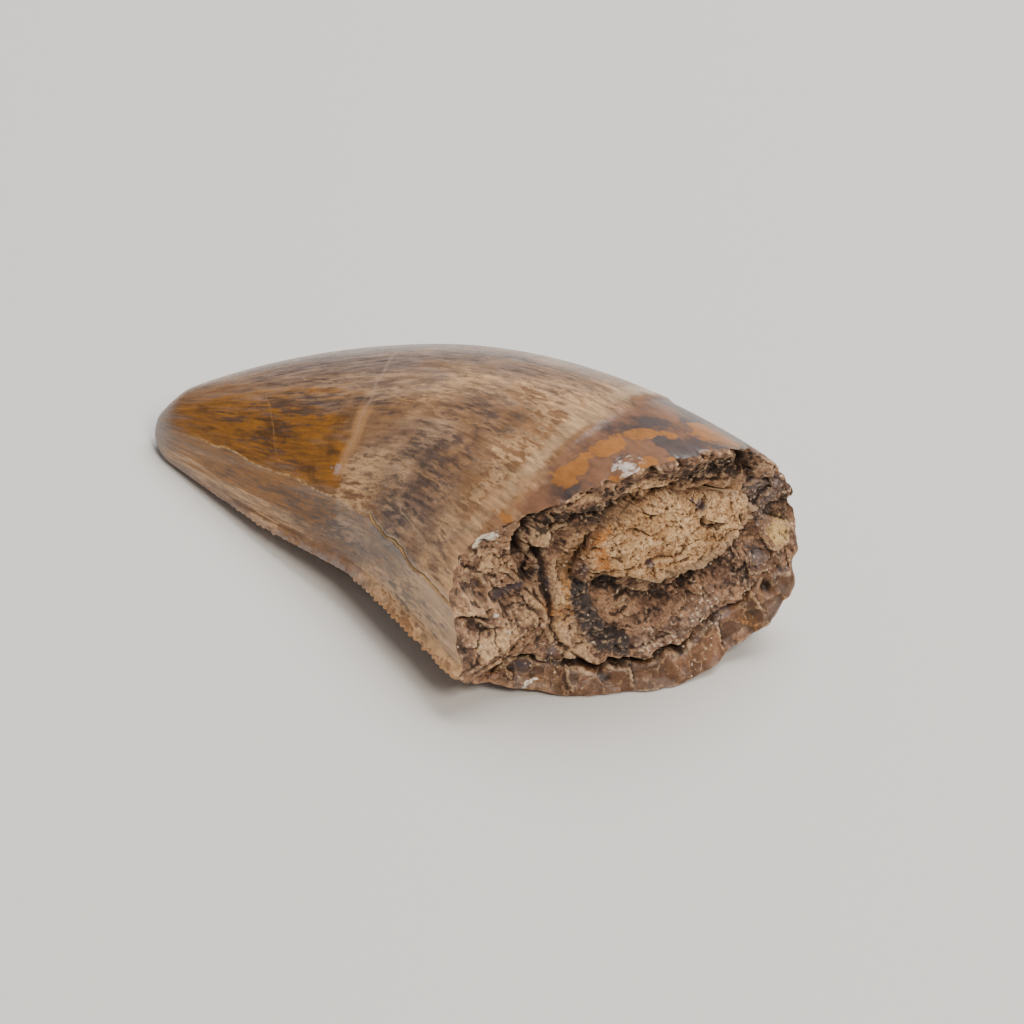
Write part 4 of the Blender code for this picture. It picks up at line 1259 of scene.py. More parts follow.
class SandstoneForm:
    """Outline and surface of the sandstone that fills the pulp cavity."""

    outline: Path = (
        (-0.3, 6.9), (0.6, 6.4), (1.7, 6.0), (3.0, 6.0), (4.3, 5.9), (5.6, 6.25), (6.9, 6.8),
        (8.0, 7.7), (8.7, 8.9), (8.2, 9.9), (7.1, 10.5), (5.8, 10.9), (4.2, 11.3), (2.6, 11.9),
        (1.2, 11.9), (0.2, 11.2), (-0.9, 10.3), (-1.9, 9.3), (-2.4, 8.3), (-2.5, 7.3), (-2.0, 6.7),
        (-1.2, 7.0),
    )
    middle: tuple[float, float] = (3.6, 8.8)

    @classmethod
    def reach(cls, angle: Array) -> Array:
        """How far the outline lies from the middle at these angles, mm.

        Args:
            angle: Radians round the middle.

        Returns:
            The distances.
        """
        corners = np.asarray(cls.outline) - cls.middle
        at = np.arctan2(corners[:, 1], corners[:, 0])
        order = np.argsort(at)
        at, length = at[order], np.linalg.norm(corners, axis=1)[order]
        at = np.concatenate([at - 2 * np.pi, at, at + 2 * np.pi])
        smooth = np.interp(angle, at, np.tile(length, 3))
        east, north = 3.0 * np.cos(angle), 3.0 * np.sin(angle)
        return smooth + 0.3 * BROAD.layers(east, north, 0.8, 4)

    @classmethod
    def inside(cls, y: Array, z: Array) -> Array:
        """1 at the middle of the sandstone, 0 at its outline, below 0 outside."""
        dy, dz = y - cls.middle[0], z - cls.middle[1]
        return 1 - np.hypot(dy, dz) / cls.reach(np.arctan2(dz, dy))


def grid(name: str, across: int, along: int) -> bpy.types.Object:
    """A flat grid to be carried onto a form.

    Args:
        name: The object's name.
        across: Faces across it.
        along: Faces along it.

    Returns:
        The grid, one metre square about the origin.
    """
    bpy.ops.object.select_all(action="DESELECT")
    bpy.ops.mesh.primitive_grid_add(x_subdivisions=across, y_subdivisions=along, size=1.0)
    made = bpy.context.object
    made.name = made.data.name = name
    return made


def grid_order(obj: bpy.types.Object, across: int, along: int) -> tuple[Array, Array]:
    """Which column and row of a fresh grid each vertex is.

    Args:
        obj: The grid.
        across: Faces across it.
        along: Faces along it.

    Returns:
        The column, and the row.
    """
    flat = np.empty(len(obj.data.vertices) * 3, np.float32)
    obj.data.vertices.foreach_get("co", flat)
    flat = flat.reshape(-1, 3)
    column = np.rint((flat[:, 0] + 0.5) * across).astype(int)
    return column, np.rint((flat[:, 1] + 0.5) * along).astype(int)


def carry(obj: bpy.types.Object, place: Array) -> None:
    """Moves every vertex to its place, given in mm."""
    obj.data.vertices.foreach_set("co", (place * MM).astype(np.float32).ravel())
    obj.data.update()


def mark(obj: bpy.types.Object, name: str, values: Array) -> None:
    """Stores values on the vertices: single numbers, or rows of four as a colour.

    Args:
        obj: The object.
        name: What the finishes call them.
        values: One a vertex.
    """
    kind = "FLOAT" if values.ndim == 1 else "FLOAT_COLOR"
    layer = obj.data.attributes.new(name, kind, "POINT")
    flat = values.astype(np.float32).ravel()
    layer.data.foreach_set("value" if values.ndim == 1 else "color", flat)


def chart(obj: bpy.types.Object, across: Array, along: Array) -> None:
    """Sets the grid's own UV map from a value per vertex, so that it stays whole at a seam.

    Args:
        obj: The grid.
        across: Across the map, 0 to 1.
        along: Up the map, 0 to 1.
    """
    corner = np.empty(len(obj.data.loops), np.int32)
    obj.data.loops.foreach_get("vertex_index", corner)
    layer = obj.data.uv_layers.active
    layer.name = "chart"
    pair = np.stack([across[corner], along[corner]], -1).astype(np.float32)
    layer.data.foreach_set("uv", pair.ravel())


def select_open_edges() -> None:
    """Selects the open edges of the mesh in edit mode, and nothing else."""
    bpy.ops.mesh.select_all(action="DESELECT")
    bpy.ops.mesh.select_non_manifold(extend=False, use_wire=False, use_multi_face=False,
                                     use_non_contiguous=False, use_verts=False)


def finish_mesh(angle: float) -> None:
    """Turns the faces of the mesh in edit mode outwards, leaves that mode and shades it.

    Args:
        angle: Degrees; an edge sharper than this stays crisp.
    """
    bpy.ops.mesh.select_all(action="SELECT")
    bpy.ops.mesh.normals_make_consistent(inside=False)
    bpy.ops.object.mode_set(mode="OBJECT")
    bpy.ops.object.shade_smooth_by_angle(angle=math.radians(angle))


def hex_colour(code: str) -> tuple[float, float, float, float]:
    """The linear colour of an sRGB hex code.

    Args:
        code: The code, with its "#".

    Returns:
        Red, green, blue and alpha.
    """
    parts = [int(code[k : k + 2], 16) / 255 for k in (1, 3, 5)]
    linear = [p / 12.92 if p <= 0.04045 else ((p + 0.055) / 1.055) ** 2.4 for p in parts]
    return (linear[0], linear[1], linear[2], 1.0)


SMOOTH = {"interpolation_type": "SMOOTHSTEP"}  # how a MapRange node eases its ends
TIMES = {"operation": "MULTIPLY"}  # how a Math node multiplies
PAINT = {"out": 2, "data_type": "RGBA"}  # how a Mix node lays a colour over another


def add(
    tree: bpy.types.NodeTree, kind: str, inputs: dict[int | str, object] | None = None,
    out: int | str = 0, **settings: object,
) -> Socket:
    """Adds a shader node.

    Args:
        tree: The material's nodes.
        kind: The node's type, without ShaderNode.
        inputs: Values for its inputs; a socket is linked, a hex code is a colour.
        out: The output wanted.
        **settings: The node's own settings.

    Returns:
        That output.
    """
    made = tree.nodes.new("ShaderNode" + kind)
    for name, value in settings.items():
        setattr(made, name, value)
    for key, value in (inputs or {}).items():
        if isinstance(value, bpy.types.NodeSocket):
            tree.links.new(value, made.inputs[key])
        else:
            made.inputs[key].default_value = hex_colour(value) if isinstance(value, str) else value
    return made.outputs[out]


class Grain(Enum):
    """What breaks up the edge of a stain."""

    STREAKS = "streaks"
    MOTTLE = "mottle"
    GRIT = "grit"
    FLECKS = "flecks"


@dataclass(frozen=True)
class Stain:
    """A colour laid over a finish where an attribute of the mesh is strong."""

    channel: str
    colour: str
    grain: Grain = Grain.MOTTLE
    ragged: float = 1.6
    most: float = 1.0
    soft: float = 0.5


def lay_stains(
    tree: bpy.types.NodeTree, colour: Socket, stains: tuple[Stain, ...],
    noises: dict[Grain, Socket],
) -> Socket:
    """Lays stains over a colour, one after another.

    Args:
        tree: The material's nodes.
        colour: The colour underneath.
        stains: The stains in order.
        noises: The noise for each kind of ragged edge.

    Returns:
        The stained colour.
    """
    for stain in stains:
        strength = add(tree, "Attribute", attribute_name=stain.channel, out="Fac")
        stray = add(tree, "MapRange", {0: noises[stain.grain], 1: 0.0, 2: 1.0, 3: -stain.ragged,
                                       4: stain.ragged}, clamp=False)
        there = add(tree, "MapRange", {0: strength, 1: 0.04, 2: 0.3})
        stray = add(tree, "Math", {0: stray, 1: there}, **TIMES)
        broken = add(tree, "Math", {0: strength, 1: stray}, operation="ADD")
        share = add(tree, "MapRange", {0: broken, 1: 0.3, 2: 0.3 + stain.soft, 4: stain.most},
                    **SMOOTH)
        colour = add(tree, "Mix", {0: share, 6: colour, 7: stain.colour}, **PAINT)
    return colour


@dataclass(frozen=True)
class Hairline:
    """A healed crack in the enamel, filled with pale mineral.

    The corners are (mm from the tip, degrees round), or the other way about when it runs
    round the crown.
    """

    corners: Path
    width: float  # mm
    colour: str
    round_crown: bool = False
    strength: float = 0.8

    def lay(self, tree: bpy.types.NodeTree, colour: Socket, across: Socket, along: Socket,
            girth: Socket, stray: Socket) -> Socket:
        """Draws the crack over a colour.

        Args:
            tree: The material's nodes.
            colour: The colour underneath.
            across: Share of the way round.
            along: Share of the chart's length.
            girth: Millimetres to a degree round.
            stray: Noise about 0 that the crack strays by, mm.

        Returns:
            The colour with the crack on it.
        """
        lead, other = (across, along) if self.round_crown else (along, across)
        lead_whole, other_whole = (360, CHART_LENGTH) if self.round_crown else (CHART_LENGTH, 360)
        made = tree.nodes.new("ShaderNodeFloatCurve")
        tree.links.new(lead, made.inputs["Value"])
        line = made.mapping.curves[0]
        spots = [(a / lead_whole, b / other_whole) for a, b in self.corners]
        while len(line.points) < len(spots):
            line.points.new(0.5, 0.5)
        for point, spot in zip(line.points, spots):
            point.location, point.handle_type = spot, "VECTOR"
        made.mapping.update()
        off = add(tree, "Math", {0: other, 1: made.outputs[0]}, operation="SUBTRACT")
        size = add(tree, "Math", {0: off, 1: other_whole}, **TIMES)
        if not self.round_crown:
            size = add(tree, "Math", {0: size, 1: girth}, **TIMES)
        size = add(tree, "Math", {0: size, 1: stray}, operation="ADD")
        size = add(tree, "Math", {0: size}, operation="ABSOLUTE")
        share = add(tree, "MapRange", {0: size, 1: self.width, 2: self.width * 0.3, 3: 0.0,
                                       4: self.strength}, **SMOOTH)
        fade = 0.6 / lead_whole * (7 if self.round_crown else 1)
        for at, way in ((spots[0][0], 1), (spots[-1][0], -1)):
            inside = add(tree, "MapRange", {0: lead, 1: at, 2: at + fade * way}, **SMOOTH)
            share = add(tree, "Math", {0: share, 1: inside}, **TIMES)
        return add(tree, "Mix", {0: share, 6: colour, 7: self.colour}, **PAINT)


def new_material(name: str) -> tuple[bpy.types.Material, bpy.types.NodeTree, bpy.types.Node]:
    """A new material with its nodes and its shader.

    Args:
        name: What it is called.

    Returns:
        The material, its nodes and its shader.
    """
    material = bpy.data.materials.new(name)
    material.use_nodes = True
    return material, material.node_tree, material.node_tree.nodes["Principled BSDF"]


@dataclass(frozen=True)
class PolishedEnamel:
    """Fossil enamel over dentine, stained by iron and manganese in the ground and polished:
    a glossy, slightly translucent skin with streaks that run along the crown."""

    stains: tuple[Stain, ...] = (
        Stain("tan_streak", "#C89E72", Grain.FLECKS, 3.0, 0.85, 0.6),
        Stain("amber", "#8C580C", Grain.STREAKS, 1.0, 0.97, 0.5),
        # painted sheen: grey haze of reflection on the glossy enamel, with some grey tone
        Stain("grey_tone_and_sheen", "#766661", Grain.MOTTLE, 0.9, 0.8, 0.8),
        Stain("dark_streak", "#483A35", Grain.FLECKS, 2.8, 0.8, 0.9),
        Stain("edge_band", "#BD9C76", Grain.MOTTLE, 1.2, 0.6, 0.6),
    )
    root_stains: tuple[Stain, ...] = (
        Stain("root_tan", "#B48861", Grain.MOTTLE, 1.6, 0.75, 0.6),
        Stain("root_grey", "#4E423F", Grain.MOTTLE, 2.2, 0.88, 0.55),
        Stain("iron_stain", "#A2682C", Grain.MOTTLE, 3.0, 0.88, 0.25),
        Stain("white_mineral", "#C9BDB2", Grain.GRIT, 5.0, 0.85, 1.0),
        Stain("blue_glint", "#B9B4C0", Grain.GRIT, 2.0, 0.55, 0.8),
    )
    hairlines: tuple[Hairline, ...] = (
        Hairline(((65, 18.0), (85, 18.35), (93, 17.9), (101, 18.3), (112, 18.0), (120, 18.1),
                  (129, 17.5), (138, 17.2)), 0.2, "#A98D78", True, 0.35),
        Hairline(((103, 18.3), (112, 18.0), (120, 18.2), (128, 17.6), (138, 17.3)), 0.8,
                 "#BC8B5A", True, 0.5),
        Hairline(((88, 9.6), (98.5, 10.1), (117, 10.7), (131, 11.1)), 0.06, "#B07E48", True, 0.4),
        Hairline(((12.0, 83), (15, 92), (18.0, 96), (20.4, 101.5), (25.4, 107.5), (29.2, 107.0),
                  (31.6, 106)), 0.06, "#B5895A", False, 0.5),
        Hairline(((22.0, 125.5), (25.0, 128.0), (28.2, 128.5), (31.0, 130.5), (33.5, 132.5)),
                 0.06, "#B5895A", False, 0.5),
        Hairline(((26.0, 140), (28.5, 144), (30.6, 146), (33.5, 149)), 0.06, "#B99A7A", False,
                 0.6),
        Hairline(((12.0, 260), (20.0, 246), (31.0, 250)), 0.07, "#C09560"),
    )

    def made(self) -> bpy.types.Material:
        """Mixes the finish.

        Returns:
            The material.
        """
        material, tree, shader = new_material("polished_fossil_enamel")
        grain = add(tree, "Attribute", attribute_name="grain", out="Vector")
        long_fibre = add(tree, "Mapping", {"Vector": grain, "Scale": (1, 1, 0.1)})
        long_streak = add(tree, "Mapping", {"Vector": grain, "Scale": (1, 1, 0.2)})
        patchy = add(tree, "Mapping", {"Vector": grain, "Scale": (1, 1, 0.4)})
        fibre, streak, mottle, grit, flecks, broad = (
            add(tree, "TexNoise", {"Vector": where, "Scale": 1 / size, "Detail": detail,
                                   "Roughness": roughness})
            for where, size, detail, roughness in (
                (long_fibre, 0.2, 3.0, 0.7), (long_streak, 0.8, 4.0, 0.62),
                (patchy, 1.2, 5.0, 0.6), (grain, 0.5, 5.0, 0.65),
                (long_streak, 0.34, 6.0, 0.68), (patchy, 4.0, 2.0, 0.55),
            )
        )
        cover = add(tree, "MapRange", {0: streak, 1: 0.36, 2: 0.62}, **SMOOTH)
        colour = add(tree, "Mix", {0: cover, 6: "#7C6150", 7: "#A98768"}, **PAINT)
        cover = add(tree, "MapRange", {0: broad, 1: 0.62, 2: 0.42}, **SMOOTH)
        colour = add(tree, "Mix", {0: cover, 6: colour, 7: "#85603F"}, **PAINT)
        noises = {Grain.STREAKS: streak, Grain.MOTTLE: mottle, Grain.GRIT: grit,
                  Grain.FLECKS: flecks}
        colour = lay_stains(tree, colour, self.stains, noises)
        deep = add(tree, "Attribute", attribute_name="amber", out="Fac")
        patch = add(tree, "MapRange", {0: mottle, 1: 0.5, 2: 0.36}, **SMOOTH)
        vein = add(tree, "Math", {0: deep, 1: patch}, **TIMES)
        vein = add(tree, "Math", {0: vein, 1: 0.8}, **TIMES)
        colour = add(tree, "Mix", {0: vein, 6: colour, 7: "#4A2E0C"}, **PAINT)
        root = add(tree, "Attribute", attribute_name="root", out="Fac")
        cover = add(tree, "MapRange", {0: mottle, 1: 0.4, 2: 0.62}, **SMOOTH)
        root_colour = add(tree, "Mix", {0: cover, 6: "#80593F", 7: "#4B3A34"}, **PAINT)
        colour = add(tree, "Mix", {0: root, 6: colour, 7: root_colour}, **PAINT)
        colour = lay_stains(tree, colour, self.root_stains, noises)

        fibre_share = add(tree, "MapRange", {0: fibre, 1: 0.34, 2: 0.66, 3: 0.66, 4: 1.3})
        fibre_colour = add(tree, "CombineColor", {0: fibre_share, 1: fibre_share, 2: fibre_share})
        fibrous = add(tree, "MapRange", {0: root, 3: 1.0, 4: 0.3})
        colour = add(tree, "Mix", {0: fibrous, 6: colour, 7: fibre_colour}, **PAINT,
                     blend_type="MULTIPLY")

        cloud = add(tree, "TexNoise", {
            "Vector": patchy, "Scale": 1 / 0.7, "Detail": 6.0, "Roughness": 0.72,
        })
        cloud_share = add(tree, "MapRange", {0: cloud, 1: 0.3, 2: 0.7, 3: 0.7, 4: 1.28})
        cloud_colour = add(tree, "CombineColor", {0: cloud_share, 1: cloud_share, 2: cloud_share})
        colour = add(tree, "Mix", {0: 1.0, 6: colour, 7: cloud_colour}, **PAINT,
                     blend_type="MULTIPLY")
        colour, along = self.healed_cracks(tree, colour, grain)
        colour = self.shoulder_crack(tree, colour, along, grain, mottle)
        colour = self.worn_edges(tree, colour, grit)
        tree.links.new(colour, shader.inputs["Base Color"])
        self.polish(tree, shader, root, grit, fibre, mottle)
        return material

    def healed_cracks(
        self, tree: bpy.types.NodeTree, colour: Socket, grain: Socket,
    ) -> tuple[Socket, Socket]:
        """Draws the healed cracks over the colour.

        Args:
            tree: The material's nodes.
            colour: The colour underneath.
            grain: Where the streaks' pattern is read.

        Returns:
            The new colour, and the share of the chart's length.
        """
        charted = add(tree, "UVMap", uv_map="chart")
        split = tree.nodes.new("ShaderNodeSeparateXYZ")
        tree.links.new(charted, split.inputs[0])
        girth = add(tree, "Attribute", attribute_name="girth", out="Fac")
        stray_noise = add(tree, "TexNoise", {
            "Vector": grain, "Scale": 1 / 1.6, "Detail": 3.0, "Roughness": 0.5,
        })
        stray = add(tree, "MapRange", {0: stray_noise, 1: 0.0, 2: 1.0, 3: -0.5, 4: 0.5})
        for line in self.hairlines:
            colour = line.lay(tree, colour, split.outputs[0], split.outputs[1], girth, stray)
        return colour, split.outputs[1]

    def shoulder_crack(
        self, tree: bpy.types.NodeTree, colour: Socket, along: Socket, grain: Socket,
        mottle: Socket,
    ) -> Socket:
        """Fills the shoulder's crack: tan beads, a painted highlight, painted shade in the slit.

        Args:
            tree: The material's nodes.
            colour: The colour underneath.
            along: Share of the chart's length.
            grain: Where the streaks' pattern is read.
            mottle: Noise in patches.

        Returns:
            The new colour.
        """
        crack = add(tree, "Attribute", attribute_name="crack_gap", out="Fac")
        run = add(tree, "Math", {0: along, 1: CHART_LENGTH}, **TIMES)
        bead_noise = add(tree, "TexNoise", {
            "Vector": grain, "Scale": 1 / 0.35, "Detail": 2.0, "Roughness": 0.55,
        })
        beads = add(tree, "MapRange", {0: bead_noise, 1: 0.38, 2: 0.6}, **SMOOTH)
        crack_highlight = add(tree, "MapRange", {0: crack, 1: 0.24, 2: 0.05}, **SMOOTH)
        # the first pass lays the tan filler beads, the second a painted highlight beside the open
        # crack
        for near, full, gone, far, tint, mask in (
            (3.0, 6.0, 25.0, 20.0, "#CFA873", beads), (20.0, 24.0, 42.0, 40.0, "#C29C66", crack_highlight),
        ):
            share = add(tree, "MapRange", {0: crack, 1: 0.09 if mask is beads else 0.2, 2: 0.02},
                        **SMOOTH)
            for low, high in ((near, full), (gone, far)):
                part = add(tree, "MapRange", {0: run, 1: low, 2: high}, **SMOOTH)
                share = add(tree, "Math", {0: share, 1: part}, **TIMES)
            share = add(tree, "Math", {0: share, 1: mask}, **TIMES)
            share = add(tree, "Math", {0: share, 1: 0.75}, **TIMES)
            colour = add(tree, "Mix", {0: share, 6: colour, 7: tint}, **PAINT)
        # painted shade in the open slit of the crack
        cover = add(tree, "MapRange", {0: crack, 1: 0.05, 2: 0.01}, **SMOOTH)
        patch = add(tree, "MapRange", {0: run, 1: 19.0, 2: 28.0}, **SMOOTH)
        slit_shade = add(tree, "Math", {0: cover, 1: patch}, **TIMES)
        patch = add(tree, "MapRange", {0: mottle, 1: 0.35, 2: 0.6}, **SMOOTH)
        slit_shade = add(tree, "Math", {0: slit_shade, 1: patch}, **TIMES)
        colour = add(tree, "Mix", {0: slit_shade, 6: colour, 7: "#4A3424"}, **PAINT)
        return colour

    def worn_edges(self, tree: bpy.types.NodeTree, colour: Socket, grit: Socket) -> Socket:
        """Lays the rubbed and the rusty stretches over the serrated edge.

        Args:
            tree: The material's nodes.
            colour: The colour underneath.
            grit: Fine noise.

        Returns:
            The new colour.
        """
        keel = add(tree, "Attribute", attribute_name="keel", out="Fac")
        for channel, low, high, tint in (
            ("pale_edge", 0.02, 0.3, "#8F7F78"), ("iron_edge", 0.28, 0.44, "#A1744A"),
        ):
            where = add(tree, "Attribute", attribute_name=channel, out="Fac")
            cover = add(tree, "MapRange", {0: keel, 1: low, 2: high}, **SMOOTH)
            edge = add(tree, "Math", {0: cover, 1: where}, **TIMES)
            patch = add(tree, "MapRange", {0: grit, 1: 0.32, 2: 0.56}, **SMOOTH)
            edge = add(tree, "Math", {0: edge, 1: patch}, **TIMES)
            colour = add(tree, "Mix", {0: edge, 6: colour, 7: tint}, **PAINT)
        return colour

    def polish(
        self, tree: bpy.types.NodeTree, shader: bpy.types.Node, root: Socket, grit: Socket,
        fibre: Socket, mottle: Socket,
    ) -> None:
        """Sets the gloss, the glow below the surface and the fine relief.

        Args:
            tree: The material's nodes.
            shader: The material's shader.
            root: How far each point belongs to the root.
            grit: Fine noise.
            fibre: Noise in long fibres.
            mottle: Noise in patches.
        """
        gloss = add(tree, "MapRange", {0: grit, 1: 0.3, 2: 0.7, 3: 0.20, 4: 0.36})
        gloss = add(tree, "MapRange", {0: root, 3: gloss, 4: 0.33})
        tree.links.new(gloss, shader.inputs["Roughness"])
        shader.inputs["IOR"].default_value = 1.6
        shader.inputs["Subsurface Weight"].default_value = 0.10
        shader.inputs["Subsurface Radius"].default_value = (1.0, 0.55, 0.3)
        shader.inputs["Subsurface Scale"].default_value = 0.9 * MM
        height = add(tree, "Mix", {0: 0.4, 2: fibre, 3: mottle})
        bump = add(tree, "Bump", {"Strength": 0.35, "Distance": 0.05 * MM, "Height": height})
        tree.links.new(bump, shader.inputs["Normal"])


@dataclass(frozen=True)
class BrokenDentine:
    """Dentine broken across and replaced by minerals: splintery and brown, sugary with
    crystals round the pulp cavity, glassy where chips came off the rim."""

    stains: tuple[Stain, ...] = (
        # brown dentine, partly painted shadow under the sandstone's ledge
        Stain("umber_and_shadow", "#4E3729", Grain.GRIT, 1.6, 0.9, 0.8),
        Stain("tan_dentine", "#CBA57B", Grain.GRIT, 1.6, 0.95, 0.6),
        Stain("grey_sugar", "#3D3635", Grain.GRIT, 1.2, 0.95, 0.4),
        Stain("sugar", "#866C5C", Grain.GRIT, 2.6, 0.7, 0.7),
        Stain("glassy_chip", "#62442F", Grain.MOTTLE, 0.35, 0.92, 0.4),
        # painted shade in the break's crevices and hollows, with some dark core dentine
        Stain("dark_core_and_crevice_shade", "#2B1E18", Grain.GRIT, 1.6, 0.92, 0.5),
        Stain("slate", "#403840", Grain.GRIT, 1.2, 0.9, 0.5),
        Stain("iron_break", "#B07636", Grain.GRIT, 2.2, 0.85, 0.7),
        Stain("lavender", "#7E7072", Grain.MOTTLE, 1.2, 0.7, 0.8),
        Stain("yellow_grain", "#CDAA6E", Grain.GRIT, 1.0, 0.95, 0.4),
        Stain("white_enamel", "#E8DCC8", Grain.GRIT, 1.2, 0.95, 0.3),
        Stain("sand_dust", "#A9825A", Grain.GRIT, 2.6, 0.6, 0.7),
        # painted shade on the cavity wall above the sandstone
        Stain("cavity_wall_shade", "#33241C", Grain.GRIT, 1.4, 0.9, 0.6),
        Stain("grey_crystal", "#8B7B78", Grain.GRIT, 2.4, 0.6, 0.8),
    )

    def made(self) -> bpy.types.Material:
        """Mixes the finish.

        Returns:
            The material.
        """
        material, tree, shader = new_material("fractured_fossil_dentine")
        placed = add(tree, "TexCoord", out="Object")
        point = add(tree, "VectorMath", {0: placed, 3: 1 / MM}, operation="SCALE")
        mottle = add(tree, "TexNoise", {
            "Vector": point, "Scale": 1 / 1.1, "Detail": 6.0, "Roughness": 0.65,
        })
        grit = add(tree, "TexNoise", {
            "Vector": point, "Scale": 1 / 0.34, "Detail": 5.0, "Roughness": 0.7,
        })
        cover = add(tree, "MapRange", {0: mottle, 1: 0.36, 2: 0.62}, **SMOOTH)
        colour = add(tree, "Mix", {0: cover, 6: "#5E4233", 7: "#A67F60"}, **PAINT)
        noises = {Grain.STREAKS: mottle, Grain.MOTTLE: mottle, Grain.GRIT: grit}
        colour = lay_stains(tree, colour, self.stains, noises)
        speck = add(tree, "TexNoise", {
            "Vector": point, "Scale": 1 / 0.22, "Detail": 3.0, "Roughness": 0.6,
        })
        shade = add(tree, "MapRange", {0: speck, 1: 0.32, 2: 0.68, 3: 0.6, 4: 1.35})
        shade = add(tree, "CombineColor", {0: shade, 1: shade, 2: shade})
        glassy = add(tree, "Attribute", attribute_name="glassy_chip", out="Fac")
        share = add(tree, "MapRange", {0: glassy, 3: 1.0, 4: 0.45})
        colour = add(tree, "Mix", {0: share, 6: colour, 7: shade}, **PAINT, blend_type="MULTIPLY")
        colour = self.glassy_flakes(tree, colour, point, glassy, grit)
        colour = self.crest_highlights_and_hollow_shade(tree, colour, grit)
        colour, spark = self.glints(tree, colour, point, mottle)
        tree.links.new(colour, shader.inputs["Base Color"])
        self.fracture(tree, shader, point, grit, glassy, spark)
        return material

    def glassy_flakes(
        self, tree: bpy.types.NodeTree, colour: Socket, point: Socket, glassy: Socket,
        grit: Socket,
    ) -> Socket:
        """Paints each glassy flake lit or shaded, with painted highlights on their edges.

        Args:
            tree: The material's nodes.
            colour: The colour underneath.
            point: The place, mm.
            glassy: How far each point belongs to the chips.
            grit: Fine noise.

        Returns:
            The new colour.
        """
        deep = add(tree, "TexNoise", {
            "Vector": point, "Scale": 1 / 1.4, "Detail": 4.0, "Roughness": 0.6, "Distortion": 0.8,
        })
        deep = add(tree, "MapRange", {0: deep, 1: 0.38, 2: 0.62, 3: 0.55, 4: 1.4})
        swirl = add(tree, "TexNoise", {"Vector": point, "Scale": 1 / 0.9, "Detail": 3.0},
                    out="Color")
        bent = add(tree, "VectorMath", {0: point, 1: swirl}, operation="ADD")
        flakes = {"Vector": bent, "Scale": 1 / 1.25}
        # painted light and shade: each flake a lighter or darker tone, as if it faced the light
        # its own way
        flake_colour = add(tree, "TexVoronoi", flakes, out="Color")
        flake_shading = add(tree, "SeparateColor", {0: flake_colour})
        flake_shading = add(tree, "MapRange", {0: flake_shading, 3: 0.6, 4: 1.45})
        deep = add(tree, "Math", {0: deep, 1: flake_shading}, **TIMES)
        deep = add(tree, "CombineColor", {0: deep, 1: deep, 2: deep})
        colour = add(tree, "Mix", {0: glassy, 6: colour, 7: deep}, **PAINT, blend_type="MULTIPLY")
        # painted highlights along the edges between the flakes
        edge = add(tree, "TexVoronoi", flakes, out="Distance", feature="DISTANCE_TO_EDGE")
        edge = add(tree, "MapRange", {0: edge, 1: 0.05, 2: 0.015, 4: 0.6})
        edge = add(tree, "Math", {0: edge, 1: glassy}, **TIMES)
        patch = add(tree, "MapRange", {0: grit, 1: 0.4, 2: 0.6}, **SMOOTH)
        edge = add(tree, "Math", {0: edge, 1: patch}, **TIMES)
        colour = add(tree, "Mix", {0: edge, 6: colour, 7: "#B8926C"}, **PAINT)
        return colour

    def crest_highlights_and_hollow_shade(self, tree: bpy.types.NodeTree, colour: Socket, grit: Socket) -> Socket:
        """Paints highlights on the crests, partly wear, and painted shade in cracks and hollows.

        Args:
            tree: The material's nodes.
            colour: The colour underneath.
            grit: Fine noise.

        Returns:
            The new colour.
        """
        crest = add(tree, "Attribute", attribute_name="crest", out="Fac")
        hollow = add(tree, "Attribute", attribute_name="hollow", out="Fac")
        # painted highlight on the convex crests, partly wear
        cover = add(tree, "MapRange", {0: crest, 1: 0.015, 2: 0.09}, **SMOOTH)
        patch = add(tree, "MapRange", {0: grit, 1: 0.35, 2: 0.6}, **SMOOTH)
        wear_and_highlight = add(tree, "Math", {0: cover, 1: patch}, **TIMES)
        wear_and_highlight = add(tree, "Math", {0: wear_and_highlight, 1: 0.7}, **TIMES)
        colour = add(tree, "Mix", {0: wear_and_highlight, 6: colour, 7: "#D2AF88"}, **PAINT)
        # painted shade in the concave cracks and in the broad hollows
        for value, low, high, most in ((crest, -0.005, -0.08, 0.85), (hollow, -0.05, -0.4, 0.8)):
            share = add(tree, "MapRange", {0: value, 1: low, 2: high, 4: most}, **SMOOTH)
            colour = add(tree, "Mix", {0: share, 6: colour, 7: "#261A14"}, **PAINT)
        return colour

    def glints(
        self, tree: bpy.types.NodeTree, colour: Socket, point: Socket, mottle: Socket,
    ) -> tuple[Socket, Socket]:
        """Lights up a few crystal faces.

        Args:
            tree: The material's nodes.
            colour: The colour underneath.
            point: The place, mm.
            mottle: Noise in patches.

        Returns:
            The new colour, and a value of each crystal's own.
        """
        crystals = add(tree, "TexVoronoi", {"Vector": point, "Scale": 1 / 0.13}, out="Color")
        spark = add(tree, "SeparateColor", {0: crystals})
        sugar = add(tree, "Attribute", attribute_name="sugar", out="Fac")
        rare = add(tree, "MapRange", {0: sugar, 3: 0.0, 4: 0.12})
        bright = add(tree, "Math", {0: spark, 1: rare}, operation="ADD")
        glint = add(tree, "MapRange", {0: bright, 1: 0.96, 2: 1.0}, **SMOOTH)
        patch = add(tree, "MapRange", {0: mottle, 1: 0.42, 2: 0.6}, **SMOOTH)
        glint = add(tree, "Math", {0: glint, 1: patch}, **TIMES)
        glint = add(tree, "Math", {0: glint, 1: 0.75}, **TIMES)
        colour = add(tree, "Mix", {0: glint, 6: colour, 7: "#E2CDB2"}, **PAINT)
        return colour, spark

